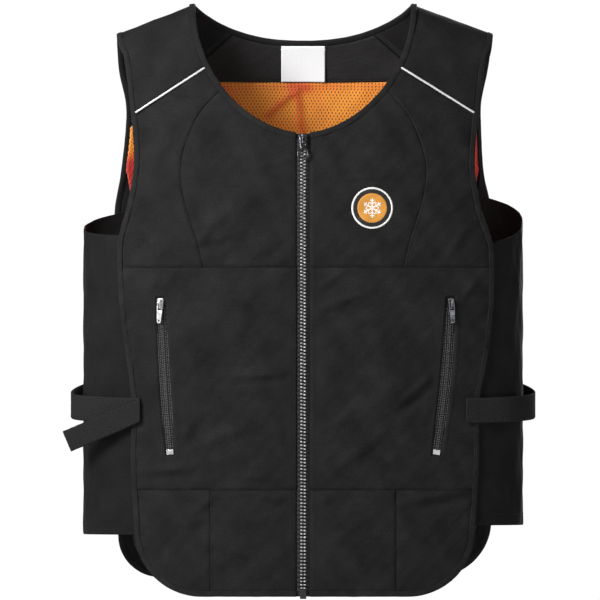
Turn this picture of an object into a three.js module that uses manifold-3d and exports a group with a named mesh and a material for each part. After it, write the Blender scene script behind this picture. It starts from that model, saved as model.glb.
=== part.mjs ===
// Cooling vest: a sleeveless work vest of black cloth with an orange mesh lining, a front zip,
// two slanted zip pockets, stretch side panels and two waist straps, in the form it has when worn.
// Millimetres, +Z up. The front faces -Y and the vest's left side in a front view is -X.
// The origin lies midway between the shoulders, at the height where the yokes rest on them.
import * as THREE from "three";
import { mergeVertices } from "three/addons/utils/BufferGeometryUtils.js";
import Module from "manifold-3d";

const wasm = await Module();
wasm.setup();

// The whole garment
const bodyLength = 701; // neck point down to the front hem
const chestWidth = 527; // fold to fold across the stretch side panels
const chestDepth = 182; // front to back at the chest
const ovalness = 2.4; // exponent of the body's oval section
const shoulderRound = 26; // height over which a shoulder rounds from front to back
const neckWidth = 256; // between the two neck points
const neckFrontDrop = 153;
const neckBackDrop = 42.5;
const shoulderDrop = 36; // fall of the shoulder line from the neck point to its tip
const shoulderTip = { left: 221, right: 225 }; // how far each tip lies from the middle
const backHemRise = 21; // the back hem ends this much above the front one

// Cloth and trim
const clothThickness = 1.8;
const meshThickness = 1.2;
const clearance = 0.35;
const seamGap = 0.4; // between two cloth panels sewn edge to edge
const bindingWidth = 7;
const bindingProud = 0.6; // the binding stands this far over the cloth, outside and inside
const pipingDiameter = 2.4;

// Seams of the fronts, as drops below the neck point and reaches from the middle
const chestSeamDrop = 312;
const pocketBelowSeam = 35.5; // from the chest seam down to the pocket's slot
const pocketLength = 186.5;
const seamBelowPocket = 41; // from the slot's foot down to the hem seam
const hemSplitReach = 110;
const hemCornerRadius = 79;
const backCornerRadius = { left: 50, right: 68 };
const yokeFrontNeckDrop = 73;
const yokeFrontArmDrop = 133;
const yokeBackNeckReach = 82;
const yokeBackArmDrop = 142;
const facingDrop = 88; // where the black band inside the back gives way to the mesh

// Stretch side panels, and how far they reach under the fronts and the back
const sideOverlap = 12;
const sideHemDrop = { left: 628, right: 617 };

// Front zip
const zipGap = 8; // half the space between the two front edges
const tapeWidth = 15;
const tapeThickness = 0.8;
const tapeSlit = 0.4; // half the slit between the two tapes
const chainWidth = 6.8;
const chainProud = 1;
const sliderLength = 14;
const sliderWidth = 10.5;
const pullLength = 26.5;
const pullRingWidth = 14.4;
const boxHeight = 11;
const boxWidth = 7.5;
const boxBelowHem = 2.5;

// Pockets
const pocketTopReach = { left: 168.5, right: 174.5 };
const pocketBottomReach = 157;
const pocketSlotWidth = 10;
const pocketBow = { left: 1, right: 3.5 }; // half way down, its zip runs this far outwards
const pocketSlotGape = 4.6; // the slot gapes this much wider half way down
const pocketTapeWidth = 21;
const coilWidth = 5;
const coilProud = 0.5;
const pocketSliderLength = 12.5;
const pocketSliderWidth = 8;
const pocketPullLength = 24.5;
const pocketPullWidth = 7;
const pocketPullLean = 6; // degrees that the loose pull hangs off the line of the zip
const stopHeight = 6;
const stopWidth = 8.4;

// Waist straps
const strapWidth = 30;
const strapThickness = 2;
const strapDrop = 481; // of the middle of the strap where it lies on the front
const strapEndReach = 192;
const strapBulge = 10.5; // how far the loop stands off the side panel
const strapBackRise = 24; // the back end is sewn on this much higher
const strapBackReach = 26; // the back end reaches this far onto the back
const strapBackLift = 2; // it stands off the bound edge there by this much more
const tailLength = 96;
const tailFall = 23; // degrees that the loose tail slopes down
const tailWidth = 26; // of the tail where it hangs turned from the strap
const tailSweep = 0.22; // how far the tail runs back for each unit it runs out

// Label and badge
const labelWidth = 52;
const labelHeight = 43;
const labelTopDrop = 46.5;
const labelThickness = 0.6;
const badgeDiameter = 49;
const badgeReach = 81.5;
const badgeDrop = 242;
const badgeThickness = 0.6;

const pocketTopDrop = chestSeamDrop + pocketBelowSeam;
const hemSeamDrop = pocketTopDrop + pocketLength + seamBelowPocket;
const halfChest = chestWidth / 2;
const halfNeck = neckWidth / 2;
const backLength = bodyLength - backHemRise;
const degree = Math.PI / 180;

// How deep the body is at each height: shares of bodyLength down, and of chestDepth to the
// front and back, over and above the rounding of the shoulder.
const torsoDepths = [
  { down: 0, front: 0, back: 0 },
  { down: 0.09, front: 0.12, back: 0.175 },
  { down: 0.17, front: 0.245, back: 0.275 },
  { down: 0.26, front: 0.335, back: 0.33 },
  { down: 0.36, front: 0.375, back: 0.34 },
  { down: 0.47, front: 0.37, back: 0.335 },
  { down: 0.65, front: 0.33, back: 0.28 },
  { down: 0.82, front: 0.33, back: 0.3 },
  { down: 1, front: 0.36, back: 0.345 },
];

// The bound edge of the fronts from the shoulder tip to the hem corner: shares of bodyLength
// down, and of half the chest width out.
const frontEdge = [
  { down: 0.051, left: 0.838, right: 0.854 },
  { down: 0.087, left: 0.808, right: 0.824 },
  { down: 0.151, left: 0.784, right: 0.801 },
  { down: 0.264, left: 0.759, right: 0.771 },
  { down: 0.338, left: 0.788, right: 0.793 },
  { down: 0.379, left: 0.819, right: 0.829 },
  { down: 0.411, left: 0.834, right: 0.855 },
  { down: 0.51, left: 0.824, right: 0.855 },
  { down: 0.6, left: 0.794, right: 0.828 },
  { down: 0.668, left: 0.771, right: 0.794 },
  { down: 0.776, left: 0.774, right: 0.79 },
  { down: 0.888, left: 0.757, right: 0.772 },
];

// The same for the back.
const backEdge = [
  { down: 0.051, left: 0.838, right: 0.854 },
  { down: 0.111, left: 0.83, right: 0.832 },
  { down: 0.165, left: 0.8, right: 0.803 },
  { down: 0.2, left: 0.798, right: 0.802 },
  { down: 0.285, left: 0.822, right: 0.815 },
  { down: 0.35, left: 0.85, right: 0.85 },
  { down: 0.45, left: 0.85, right: 0.857 },
  { down: 0.65, left: 0.831, right: 0.84 },
  { down: 0.878, left: 0.834, right: 0.849 },
];

// The top edge of a side panel, from the front round to the back: shares of bodyLength down.
const sideTop = [
  { around: 0, left: 0.392, right: 0.408 },
  { around: 0.44, left: 0.384, right: 0.379 },
  { around: 0.56, left: 0.377, right: 0.361 },
  { around: 1, left: 0.351, right: 0.322 },
];

// The curved seam of the chest, from the neck to the chest seam: shares of chestSeamDrop down
// and of half the chest width out.
const princessSeam = [
  { down: 0.32, reach: 0.362 },
  { down: 0.385, reach: 0.438 },
  { down: 0.446, reach: 0.487 },
  { down: 0.53, reach: 0.529 },
  { down: 0.63, reach: 0.552 },
  { down: 0.72, reach: 0.541 },
  { down: 0.8, reach: 0.516 },
  { down: 0.9, reach: 0.478 },
  { down: 1, reach: 0.448 },
];

// Soft folds in the fronts: shares of half the chest width out (minus is left) and of
// bodyLength down, then length, breadth and height as shares of the chest depth, and degrees
// that the fold turns from level.
const folds = [
  { at: -0.31, down: 0.36, length: 0.2, breadth: 0.12, height: 0.011, turn: 52 },
  { at: -0.17, down: 0.635, length: 0.24, breadth: 0.1, height: 0.013, turn: 8 },
  { at: -0.36, down: 0.53, length: 0.3, breadth: 0.16, height: 0.014, turn: 64 },
  { at: -0.2, down: 0.75, length: 0.24, breadth: 0.12, height: 0.013, turn: 24 },
  { at: -0.33, down: 0.855, length: 0.2, breadth: 0.1, height: 0.012, turn: 50 },
  { at: -0.15, down: 0.92, length: 0.26, breadth: 0.13, height: 0.013, turn: -14 },
  { at: 0.26, down: 0.32, length: 0.24, breadth: 0.1, height: 0.01, turn: 4 },
  { at: 0.17, down: 0.59, length: 0.26, breadth: 0.15, height: 0.014, turn: 44 },
  { at: 0.42, down: 0.64, length: 0.24, breadth: 0.1, height: 0.014, turn: 52 },
  { at: 0.27, down: 0.72, length: 0.3, breadth: 0.14, height: 0.013, turn: 36 },
  { at: 0.18, down: 0.87, length: 0.22, breadth: 0.1, height: 0.012, turn: -28 },
  { at: 0.2, down: 0.93, length: 0.22, breadth: 0.12, height: 0.013, turn: 34 },
];

// Materials
const shellBlack = { color: 0x262627, roughness: 0.92, metalness: 0 };
const stretchBlack = { color: 0x1c1c1d, roughness: 0.88, metalness: 0 };
const bindingBlack = { color: 0x2a2a2b, roughness: 0.9, metalness: 0 };
const meshOrange = { color: 0xe8771f, roughness: 0.7, metalness: 0 };
const webbingBlack = { color: 0x242424, roughness: 0.95, metalness: 0 };
const reflectiveSilver = { color: 0xd9dadb, roughness: 0.35, metalness: 0.2 };
const zipBlack = { color: 0x1b1b1c, roughness: 0.7, metalness: 0 };
const toothGrey = { color: 0x8a8b8d, roughness: 0.35, metalness: 0.8 };
const gunmetal = { color: 0x5b5d60, roughness: 0.3, metalness: 1 };
const labelWhite = { color: 0xf2f2f0, roughness: 0.8, metalness: 0 };
const badgeOrange = { color: 0xe39a2e, roughness: 0.6, metalness: 0 };

const vest = new THREE.Group();

function add(name, geometry, look, parent = vest) {
  const mesh = new THREE.Mesh(geometry, new THREE.MeshStandardMaterial(look));
  mesh.name = name;
  parent.add(mesh);
  return mesh;
}

const mix = (a, b, t) => a + (b - a) * t;
const signOf = (side) => (side === "left" ? -1 : 1);
const sideOf = (x) => (x < 0 ? "left" : "right");
const range = (count, make) => Array.from({ length: count + 1 }, (_, i) => make(i / count));

// A smooth curve through the rows of a table.
function along(rows, key, column, at) {
  const last = rows.length - 1;
  let i = 0;
  while (i < last - 1 && at > rows[i + 1][key]) i += 1;
  const slope = (k) => {
    const a = rows[Math.max(k - 1, 0)];
    const b = rows[Math.min(k + 1, last)];
    return (b[column] - a[column]) / (b[key] - a[key]);
  };
  const span = rows[i + 1][key] - rows[i][key];
  const t = Math.min(Math.max((at - rows[i][key]) / span, 0), 1);
  const h = t * t * (3 - 2 * t);
  const pull = t * (1 - t) * span;
  return (
    mix(rows[i][column], rows[i + 1][column], h) +
    pull * ((1 - t) * slope(i) - t * slope(i + 1))
  );
}

// Height that the folds add to the cloth of the fronts.
function foldLift(across, drop) {
  let lift = 0;
  for (const fold of folds) {
    const dx = across - fold.at * halfChest;
    const dz = fold.down * bodyLength - drop;
    const c = Math.cos(fold.turn * degree);
    const s = Math.sin(fold.turn * degree);
    const lengthways = (dx * c + dz * s) / (fold.length * chestDepth);
    const crossways = (dz * c - dx * s) / (fold.breadth * chestDepth);
    lift += fold.height * chestDepth * Math.exp(-(lengthways ** 2) - crossways ** 2);
  }
  return lift;
}

// The shoulder line, as a drop below the neck point.
const shoulderLine = (side, reach) =>
  (shoulderDrop * Math.max(0, reach - halfNeck)) / (shoulderTip[side] - halfNeck);

// Depth of the body's surface in front of or behind the middle plane.
function depthAt(face, side, reach, drop) {
  const under = Math.max(0, drop - shoulderLine(side, reach));
  const rise = Math.min(under / shoulderRound, 1);
  const arch = shoulderRound * Math.sqrt(1 - (1 - rise) ** 2);
  const spread = along(torsoDepths, "down", face, under / bodyLength) * chestDepth;
  const oval = (1 - Math.min(reach / halfChest, 1) ** ovalness) ** (1 / ovalness);
  return (arch + spread) * oval;
}

// A point of the body's surface at a signed distance from the middle. "front" carries the
// folds and "front_plain" doesn't.
function surface(face, x, drop) {
  const kind = face === "back" ? "back" : "front";
  const depth = depthAt(kind, sideOf(x), Math.abs(x), drop);
  const lift = face === "front" ? foldLift(x, drop) : 0;
  return new THREE.Vector3(x, kind === "front" ? -(depth + lift) : depth, -drop);
}

// A point of a curved surface with the direction that faces away from the body there. Above
// crownDepth, on the shoulders, away is upwards as well.
const crownDepth = 60;
function spot(place, u, v, step) {
  const across = place(u + step, v).sub(place(u - step, v));
  const upward = place(u, v + step).sub(place(u, v - step));
  const at = place(u, v);
  const out = across.cross(upward).normalize();
  const away = at.x * out.x * 0.2 + at.y * out.y + Math.max(0, at.z + crownDepth) * out.z;
  return { at, out: away < 0 ? out.negate() : out };
}

const bodySpot = (face, x, drop) => spot((a, b) => surface(face, a, b), x, drop, 1);

// A closed mesh from vertices and triangles, with its faces turned outwards.
function closed(vertices, triangles) {
  const a = new THREE.Vector3();
  let volume = 0;
  for (const [i, j, k] of triangles) {
    volume += vertices[i].dot(a.copy(vertices[j]).cross(vertices[k]));
  }
  const geometry = new THREE.BufferGeometry();
  const index = triangles.flatMap(([i, j, k]) => (volume < 0 ? [i, k, j] : [i, j, k]));
  geometry.setAttribute(
    "position",
    new THREE.Float32BufferAttribute(vertices.flatMap((v) => [v.x, v.y, v.z]), 3),
  );
  geometry.setIndex(index);
  geometry.computeVertexNormals();
  return geometry;
}

// A wall of cloth over a grid of spots: its outer face lies `over` them and its inner face
// `under` them. Either may be a number or a function of the two shares of the grid.
function wall(grid, over, under) {
  const rows = grid.length;
  const columns = grid[0].length;
  const height = (value, i, j) =>
    typeof value === "function" ? value(i / (columns - 1), j / (rows - 1)) : value;
  const layer = (value, sign) =>
    grid.flatMap((row, j) =>
      row.map(({ at, out }, i) => at.clone().addScaledVector(out, sign * height(value, i, j))),
    );
  const vertices = [...layer(over, 1), ...layer(under, -1)];
  const inner = rows * columns;
  const at = (i, j) => j * columns + i;
  const triangles = [];
  const quad = (a, b, c, d) => triangles.push([a, b, c], [a, c, d]);
  for (let j = 0; j < rows - 1; j += 1) {
    for (let i = 0; i < columns - 1; i += 1) {
      quad(at(i, j), at(i + 1, j), at(i + 1, j + 1), at(i, j + 1));
      quad(inner + at(i, j), inner + at(i, j + 1), inner + at(i + 1, j + 1), inner + at(i + 1, j));
    }
  }
  const rim = [
    ...range(columns - 1, (t) => at(Math.round(t * (columns - 1)), 0)),
    ...range(rows - 1, (t) => at(columns - 1, Math.round(t * (rows - 1)))).slice(1),
    ...range(columns - 1, (t) => at(Math.round((1 - t) * (columns - 1)), rows - 1)).slice(1),
    ...range(rows - 1, (t) => at(0, Math.round((1 - t) * (rows - 1)))).slice(1),
  ];
  for (let k = 0; k < rim.length - 1; k += 1) {
    quad(rim[k + 1], rim[k], inner + rim[k], inner + rim[k + 1]);
  }
  return closed(vertices, triangles);
}

// A grid of reach and drop between four edges, each a list of points that share their ends.
function patch(bottom, top, inner, outer) {
  const nu = bottom.length - 1;
  const nv = inner.length - 1;
  const blend = (key, i, j) => {
    const u = i / nu;
    const v = j / nv;
    const ruled =
      mix(bottom[i][key], top[i][key], v) + mix(inner[j][key], outer[j][key], u);
    const corners = mix(
      mix(bottom[0][key], bottom[nu][key], u),
      mix(top[0][key], top[nu][key], u),
      v,
    );
    return ruled - corners;
  };
  return range(nv, (v) =>
    range(nu, (u) => {
      const i = Math.round(u * nu);
      const j = Math.round(v * nv);
      return { reach: blend("reach", i, j), drop: blend("drop", i, j) };
    }),
  );
}

const onSurface = (face, side, grid) =>
  grid.map((row) => row.map((p) => bodySpot(face, signOf(side) * p.reach, p.drop)));

// A straight list of points between two, in equal steps.
const straight = (a, b, count) =>
  range(count, (t) => ({ reach: mix(a.reach, b.reach, t), drop: mix(a.drop, b.drop, t) }));

// A list of points moved sideways by `width`, in the plane of reach and drop.
function inset(points, width) {
  const last = points.length - 1;
  return points.map((p, i) => {
    const a = points[Math.max(i - 1, 0)];
    const b = points[Math.min(i + 1, last)];
    const dr = b.reach - a.reach;
    const dd = b.drop - a.drop;
    const share = (typeof width === "function" ? width(p) : width) / Math.hypot(dr, dd);
    return { reach: p.reach + dd * share, drop: p.drop - dr * share };
  });
}

// Outlines of the fronts, the back and the neck
const frontEdgeAt = (side, drop) => ({
  reach: along(frontEdge, "down", side, drop / bodyLength) * halfChest,
  drop,
});
const backEdgeAt = (side, drop) => ({
  reach: along(backEdge, "down", side, drop / bodyLength) * halfChest,
  drop,
});

// The rounded corner of a hem: t runs from the hem to the side edge.
function cornerAt(edgeAt, side, length, radius, t) {
  const centre = edgeAt(side, length - radius);
  const angle = (1 - t) * 90 * degree;
  return {
    reach: centre.reach - radius + radius * Math.cos(angle),
    drop: centre.drop + radius * Math.sin(angle),
  };
}

const neckFrontPower = 1.8;
const neckBackPower = 2.3;
const neckBackFlat = 1.2;
function neckFrontAt(angle) {
  return {
    reach: halfNeck * Math.cos(angle * degree) ** (2 / neckFrontPower),
    drop: neckFrontDrop * Math.sin(angle * degree),
  };
}
const neckFrontAngle = (drop) => Math.asin(Math.min(drop / neckFrontDrop, 1)) / degree;
const neckBackAt = (reach) => ({
  reach,
  drop: neckBackDrop * (1 - (Math.abs(reach) / halfNeck) ** neckBackPower) ** (1 / neckBackFlat),
});
const neckBackReach = (drop) =>
  halfNeck * (1 - (drop / neckBackDrop) ** neckBackFlat) ** (1 / neckBackPower);

// The bound outline of one front, from the zip along the hem and up to the yoke seam.
const hemCentreCells = 4;
const cornerCells = 3;
const hemSideCells = 2;
const waistCells = 8;
const chestCells = 7;
function frontOutline(side) {
  const corner = (t) => cornerAt(frontEdgeAt, side, bodyLength, hemCornerRadius, t);
  const hemStart = corner(0);
  const cornerTop = bodyLength - hemCornerRadius;
  const hemSplit = { reach: hemSplitReach, drop: bodyLength };
  const sideDrops = (from, to, cells) =>
    range(cells, (t) => frontEdgeAt(side, mix(from, to, t))).slice(1);
  return [
    ...straight({ reach: zipGap, drop: bodyLength }, hemSplit, hemCentreCells),
    hemStart,
    ...range(2 * cornerCells, corner).slice(1),
    ...sideDrops(cornerTop, hemSeamDrop, hemSideCells),
    ...sideDrops(hemSeamDrop, chestSeamDrop, waistCells),
    ...sideDrops(chestSeamDrop, yokeFrontArmDrop, chestCells),
  ];
}
const splitAt = hemCentreCells;
const cornerMiddle = splitAt + 1 + cornerCells;
const hemSeamAt = cornerMiddle + cornerCells + hemSideCells;
const chestSeamAt = hemSeamAt + waistCells;

// The front neckline from the zip to the yoke seam. The curved chest seam meets it on the way.
const neckCentreCells = 5;
const neckSideCells = 2;
const princessTop = princessSeam[0].down * chestSeamDrop;
const sideTopDrop = (side, around) => along(sideTop, "around", side, around) * bodyLength;
function neckOutline() {
  const start = Math.acos((zipGap / halfNeck) ** (neckFrontPower / 2)) / degree;
  const meet = neckFrontAngle(princessTop);
  const end = neckFrontAngle(yokeFrontNeckDrop);
  return [
    ...range(neckCentreCells, (t) => neckFrontAt(mix(start, meet, t))),
    ...range(neckSideCells, (t) => neckFrontAt(mix(meet, end, t))).slice(1),
  ];
}

const edgeRoom = bindingWidth + clearance; // from the outline to the cloth inside the binding
const halfSeam = seamGap / 2;

// The cloth of one front, in the five pieces that it is sewn from.
function frontPanels(side) {
  const cloth = inset(frontOutline(side), edgeRoom);
  const neck = inset(neckOutline(), -edgeRoom);
  neck[0].reach = zipGap;
  cloth[0].reach = zipGap;
  const build = (name, bottom, top, inner, outer) => {
    const grid = onSurface("front", side, patch(bottom, top, inner, outer));
    return [`${name}_${side}`, wall(grid, 0, clothThickness)];
  };
  const split = { reach: hemSplitReach, drop: hemSeamDrop + halfSeam };
  const hemCells = cornerCells + hemSideCells;

  const hemCorner = { reach: zipGap, drop: hemSeamDrop + halfSeam };
  const splitLeft = { ...split, reach: split.reach - halfSeam };
  const hemCentreBottom = cloth.slice(0, splitAt + 1);
  hemCentreBottom[splitAt] = { ...hemCentreBottom[splitAt], reach: splitLeft.reach };
  const hemCentre = build(
    "front_hem_centre",
    hemCentreBottom,
    straight(hemCorner, splitLeft, splitAt),
    straight(hemCentreBottom[0], hemCorner, hemCells),
    straight(hemCentreBottom[splitAt], splitLeft, hemCells),
  );

  const splitRight = { ...split, reach: split.reach + halfSeam };
  const hemSideBottom = cloth.slice(splitAt, cornerMiddle + 1);
  hemSideBottom[0] = { ...hemSideBottom[0], reach: splitRight.reach };
  const hemSideOuter = cloth.slice(cornerMiddle, hemSeamAt + 1);
  hemSideOuter[hemCells] = { ...hemSideOuter[hemCells], drop: split.drop };
  const hemSide = build(
    "front_hem_side",
    hemSideBottom,
    straight(splitRight, hemSideOuter[hemCells], hemSideBottom.length - 1),
    straight(hemSideBottom[0], splitRight, hemCells),
    hemSideOuter,
  );

  const waistOuter = cloth.slice(hemSeamAt, chestSeamAt + 1);
  waistOuter[0] = { ...waistOuter[0], drop: hemSeamDrop - halfSeam };
  waistOuter[waistCells] = { ...waistOuter[waistCells], drop: chestSeamDrop + halfSeam };
  const waistInner = straight(
    { reach: zipGap, drop: hemSeamDrop - halfSeam },
    { reach: zipGap, drop: chestSeamDrop + halfSeam },
    waistCells,
  );
  const waistColumns = 8;
  const waist = build(
    "front_waist",
    straight(waistInner[0], waistOuter[0], waistColumns),
    straight(waistInner[waistCells], waistOuter[waistCells], waistColumns),
    waistInner,
    waistOuter,
  );

  const princess = (offset) =>
    range(neckCentreCells, (t) => {
      const down = mix(1, princessSeam[0].down, t);
      return {
        reach: along(princessSeam, "down", "reach", down) * halfChest + offset,
        drop: down * chestSeamDrop - halfSeam * (1 - t),
      };
    });
  const meet = neck[neckCentreCells];
  const princessInner = princess(-halfSeam);
  princessInner[neckCentreCells] = { reach: meet.reach - halfSeam, drop: meet.drop + halfSeam };
  const chestInner = straight(
    { reach: zipGap, drop: chestSeamDrop - halfSeam },
    neck[0],
    neckCentreCells,
  );
  const neckCentre = neck.slice(0, neckCentreCells + 1);
  neckCentre[neckCentreCells] = princessInner[neckCentreCells];
  const chestCentre = build(
    "front_chest_centre",
    straight(chestInner[0], princessInner[0], neckCentreCells),
    neckCentre,
    chestInner,
    princessInner,
  );

  const princessOuter = princess(halfSeam);
  princessOuter[neckCentreCells] = { reach: meet.reach + halfSeam, drop: meet.drop };
  const chestSideInner = [...princessOuter, ...neck.slice(neckCentreCells + 1)];
  const chestOuter = cloth.slice(chestSeamAt);
  chestOuter[0] = { ...chestOuter[0], drop: chestSeamDrop - halfSeam };
  const underYoke = (p) => ({ reach: p.reach, drop: p.drop + seamGap });
  chestSideInner[chestCells] = underYoke(chestSideInner[chestCells]);
  chestOuter[chestCells] = underYoke(chestOuter[chestCells]);
  const sideColumns = 4;
  const chestSide = build(
    "front_chest_side",
    straight(chestSideInner[0], chestOuter[0], sideColumns),
    straight(chestSideInner[chestCells], chestOuter[chestCells], sideColumns),
    chestSideInner,
    chestOuter,
  );
  return [hemCentre, hemSide, waist, chestCentre, chestSide];
}

// A place on a yoke: `over` runs from -1 at the front seam, over the shoulder at 0, to 1 at
// the back seam, and `out` from the neck to the armhole.
function yokePlace(side, over, out) {
  const share = over * over;
  const neck =
    over < 0
      ? neckFrontAt(neckFrontAngle(share * yokeFrontNeckDrop))
      : { drop: share * neckBackAt(yokeBackNeckReach).drop };
  if (over >= 0) neck.reach = neckBackReach(neck.drop);
  const armDrop = mix(shoulderDrop, over < 0 ? yokeFrontArmDrop : yokeBackArmDrop, share);
  const edge = over < 0 ? frontEdgeAt(side, armDrop) : backEdgeAt(side, armDrop);
  const armReach = mix(shoulderTip[side], edge.reach, Math.min(share * 4, 1));
  return { reach: mix(neck.reach, armReach, out), drop: mix(neck.drop, armDrop, out) };
}

function yokePoint(side, over, out) {
  const { reach, drop } = yokePlace(side, over, out);
  return surface(over < 0 ? "front_plain" : "back", signOf(side) * reach, drop);
}

const yokeSpot = (side, over, out) => spot((a, b) => yokePoint(side, a, b), over, out, 0.01);

// The share of a yoke's width, at one place over the shoulder, that lies `width` in from its
// neck edge (end 0) or its armhole edge (end 1).
function yokeShare(side, over, end, width) {
  const step = 0.01;
  const edge = yokePoint(side, over + step, end).sub(yokePoint(side, over - step, end));
  const span = yokePoint(side, over, 1).sub(yokePoint(side, over, 0));
  return width / span.cross(edge.normalize()).length();
}

const yokeCells = 10;
const yokeTrim = (seamGap * 2) / (yokeFrontArmDrop - shoulderDrop);
const yokeOvers = range(yokeCells, (t) => mix(-1 + yokeTrim, 1 - yokeTrim, t));
function yoke(side) {
  const columns = 5;
  const grid = yokeOvers.map((over) => {
    const from = yokeShare(side, over, 0, edgeRoom);
    const to = 1 - yokeShare(side, over, 1, edgeRoom);
    return range(columns, (u) => yokeSpot(side, over, mix(from, to, u)));
  });
  return wall(grid, 0, clothThickness);
}

// The back yoke seam as places from its armhole end to its neck end, lowered by `lower`.
function backYokeSeam(side, lower, cells) {
  const from = 1 - yokeShare(side, 1, 1, edgeRoom);
  const to = yokeShare(side, 1, 0, edgeRoom);
  return range(cells, (t) => {
    const place = yokePlace(side, 1, mix(from, to, t));
    return { reach: signOf(side) * place.reach, drop: place.drop + lower };
  });
}

// The back neckline from the left yoke seam to the right one. Reaches on the back carry a sign.
const backNeckCells = 8;
const backNeckLine = range(backNeckCells, (t) => neckBackAt(mix(-1, 1, t) * yokeBackNeckReach));
const signed = (side, p) => ({ reach: signOf(side) * p.reach, drop: p.drop });
const backSpot = (p) => bodySpot("back", p.reach, p.drop);

// One side of the back's bound outline, from the yoke seam down to the middle of the hem.
const backArmCells = 5;
const backSideCells = 7;
const backHemCells = 6;
function backOutline(side) {
  const radius = backCornerRadius[side];
  const cornerTop = backLength - radius;
  const armLow = sideTopDrop(side, 1);
  const corner = (t) => cornerAt(backEdgeAt, side, backLength, radius, 1 - t);
  return [
    ...range(backArmCells, (t) => backEdgeAt(side, mix(yokeBackArmDrop, armLow, t))),
    ...range(backSideCells, (t) => backEdgeAt(side, mix(armLow, cornerTop, t))).slice(1),
    ...range(2 * cornerCells, corner).slice(1),
    ...straight(corner(1), { reach: 0, drop: backLength }, backHemCells).slice(1),
  ];
}
const backCorner = backArmCells + backSideCells + cornerCells;

// A list of points thinned or filled to `cells` equal steps of its own numbering.
function resampled(list, cells) {
  return range(cells, (t) => {
    const place = t * (list.length - 1);
    const k = Math.min(Math.floor(place), list.length - 2);
    return {
      reach: mix(list[k].reach, list[k + 1].reach, place - k),
      drop: mix(list[k].drop, list[k + 1].drop, place - k),
    };
  });
}

// The back from its left edge to its right one and up to `top`, with its outline drawn in by
// `room`.
function backGrid(room, top, columns, rows) {
  const [left, right] = ["left", "right"].map((side) => {
    const edge = inset(backOutline(side), (p) => -room(p));
    edge[edge.length - 1].reach = 0;
    return edge.map((p) => signed(side, p));
  });
  const leftEdge = resampled(left.slice(0, backCorner + 1).reverse(), rows);
  const rightEdge = resampled(right.slice(0, backCorner + 1).reverse(), rows);
  const hem = [...left.slice(backCorner), ...right.slice(backCorner).reverse().slice(1)];
  leftEdge[rows] = top[0];
  rightEdge[rows] = top[top.length - 1];
  const grid = patch(resampled(hem, columns), resampled(top, columns), leftEdge, rightEdge);
  return grid.map((row) => row.map(backSpot));
}

function backPanel() {
  const neck = inset(backNeckLine, -edgeRoom);
  const seamCells = 5;
  const top = [
    ...backYokeSeam("left", seamGap, seamCells),
    ...neck.slice(1, -1),
    ...backYokeSeam("right", seamGap, seamCells).reverse(),
  ];
  const columns = 2 * (cornerCells + backHemCells);
  return wall(backGrid(() => edgeRoom, top, columns, backCorner), 0, clothThickness);
}

// Depth of the mesh behind the cloth: close to it at the edges and slack in the middle.
const liningNear = clothThickness + 1.4;
const liningSlack = 3;
const slack = (u, v) => liningNear + liningSlack * Math.sin(Math.PI * u) * Math.sin(Math.PI * v);

const meshWall = (grid) =>
  wall(grid, (u, v) => -slack(u, v), (u, v) => slack(u, v) + meshThickness);

// The mesh laps the binding at the armholes and keeps inside the side panels below them,
// and goes over from one to the other along this height.
const meshRoomBlend = 30;
const meshArmRoom = 4;
const panelTop = Math.min(sideTopDrop("left", 1), sideTopDrop("right", 1));
function meshRoom(p) {
  const below = Math.min(Math.max((p.drop - panelTop) / meshRoomBlend + 1, 0), 1);
  return mix(meshArmRoom, sideOverlap + 4, below);
}

// The line where the mesh of the back starts: along the yoke seams and under the black band.
const bandOverlap = 2.5;
const meshUnderSeam = 4;
const meshTopCells = 8;
function meshTop(side) {
  const seam = backYokeSeam(side, meshUnderSeam, 1);
  const [a, b] = [seam[0], seam[1]];
  const share = (facingDrop + bandOverlap - a.drop) / (b.drop - a.drop);
  const corner = { reach: mix(a.reach, b.reach, share), drop: facingDrop + bandOverlap };
  return straight(a, corner, 3);
}

function backLining() {
  const left = meshTop("left");
  const right = meshTop("right");
  const middle = straight(left[3], right[3], meshTopCells).slice(1);
  const top = [...left, ...middle, ...right.reverse().slice(1)];
  return meshWall(backGrid(meshRoom, top, top.length - 1, top.length - 2));
}

// The black band inside the back of the neck, from the neck binding down to the mesh.
const facingSink = clothThickness + 1.8;
const facingNarrowing = 0.985; // of its lower edge, within the mesh's corners
function backFacing() {
  const cells = 14;
  const rows = 3;
  const top = resampled(inset(backNeckLine, -edgeRoom), cells);
  const bottom = straight(meshTop("left")[3], meshTop("right")[3], cells).map((p) => ({
    reach: p.reach * facingNarrowing,
    drop: facingDrop + bandOverlap / 2,
  }));
  const grid = patch(
    bottom,
    top,
    straight(bottom[0], top[0], rows),
    straight(bottom[cells], top[cells], rows),
  ).map((row) => row.map(backSpot));
  return wall(grid, -facingSink, facingSink + meshThickness);
}

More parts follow.
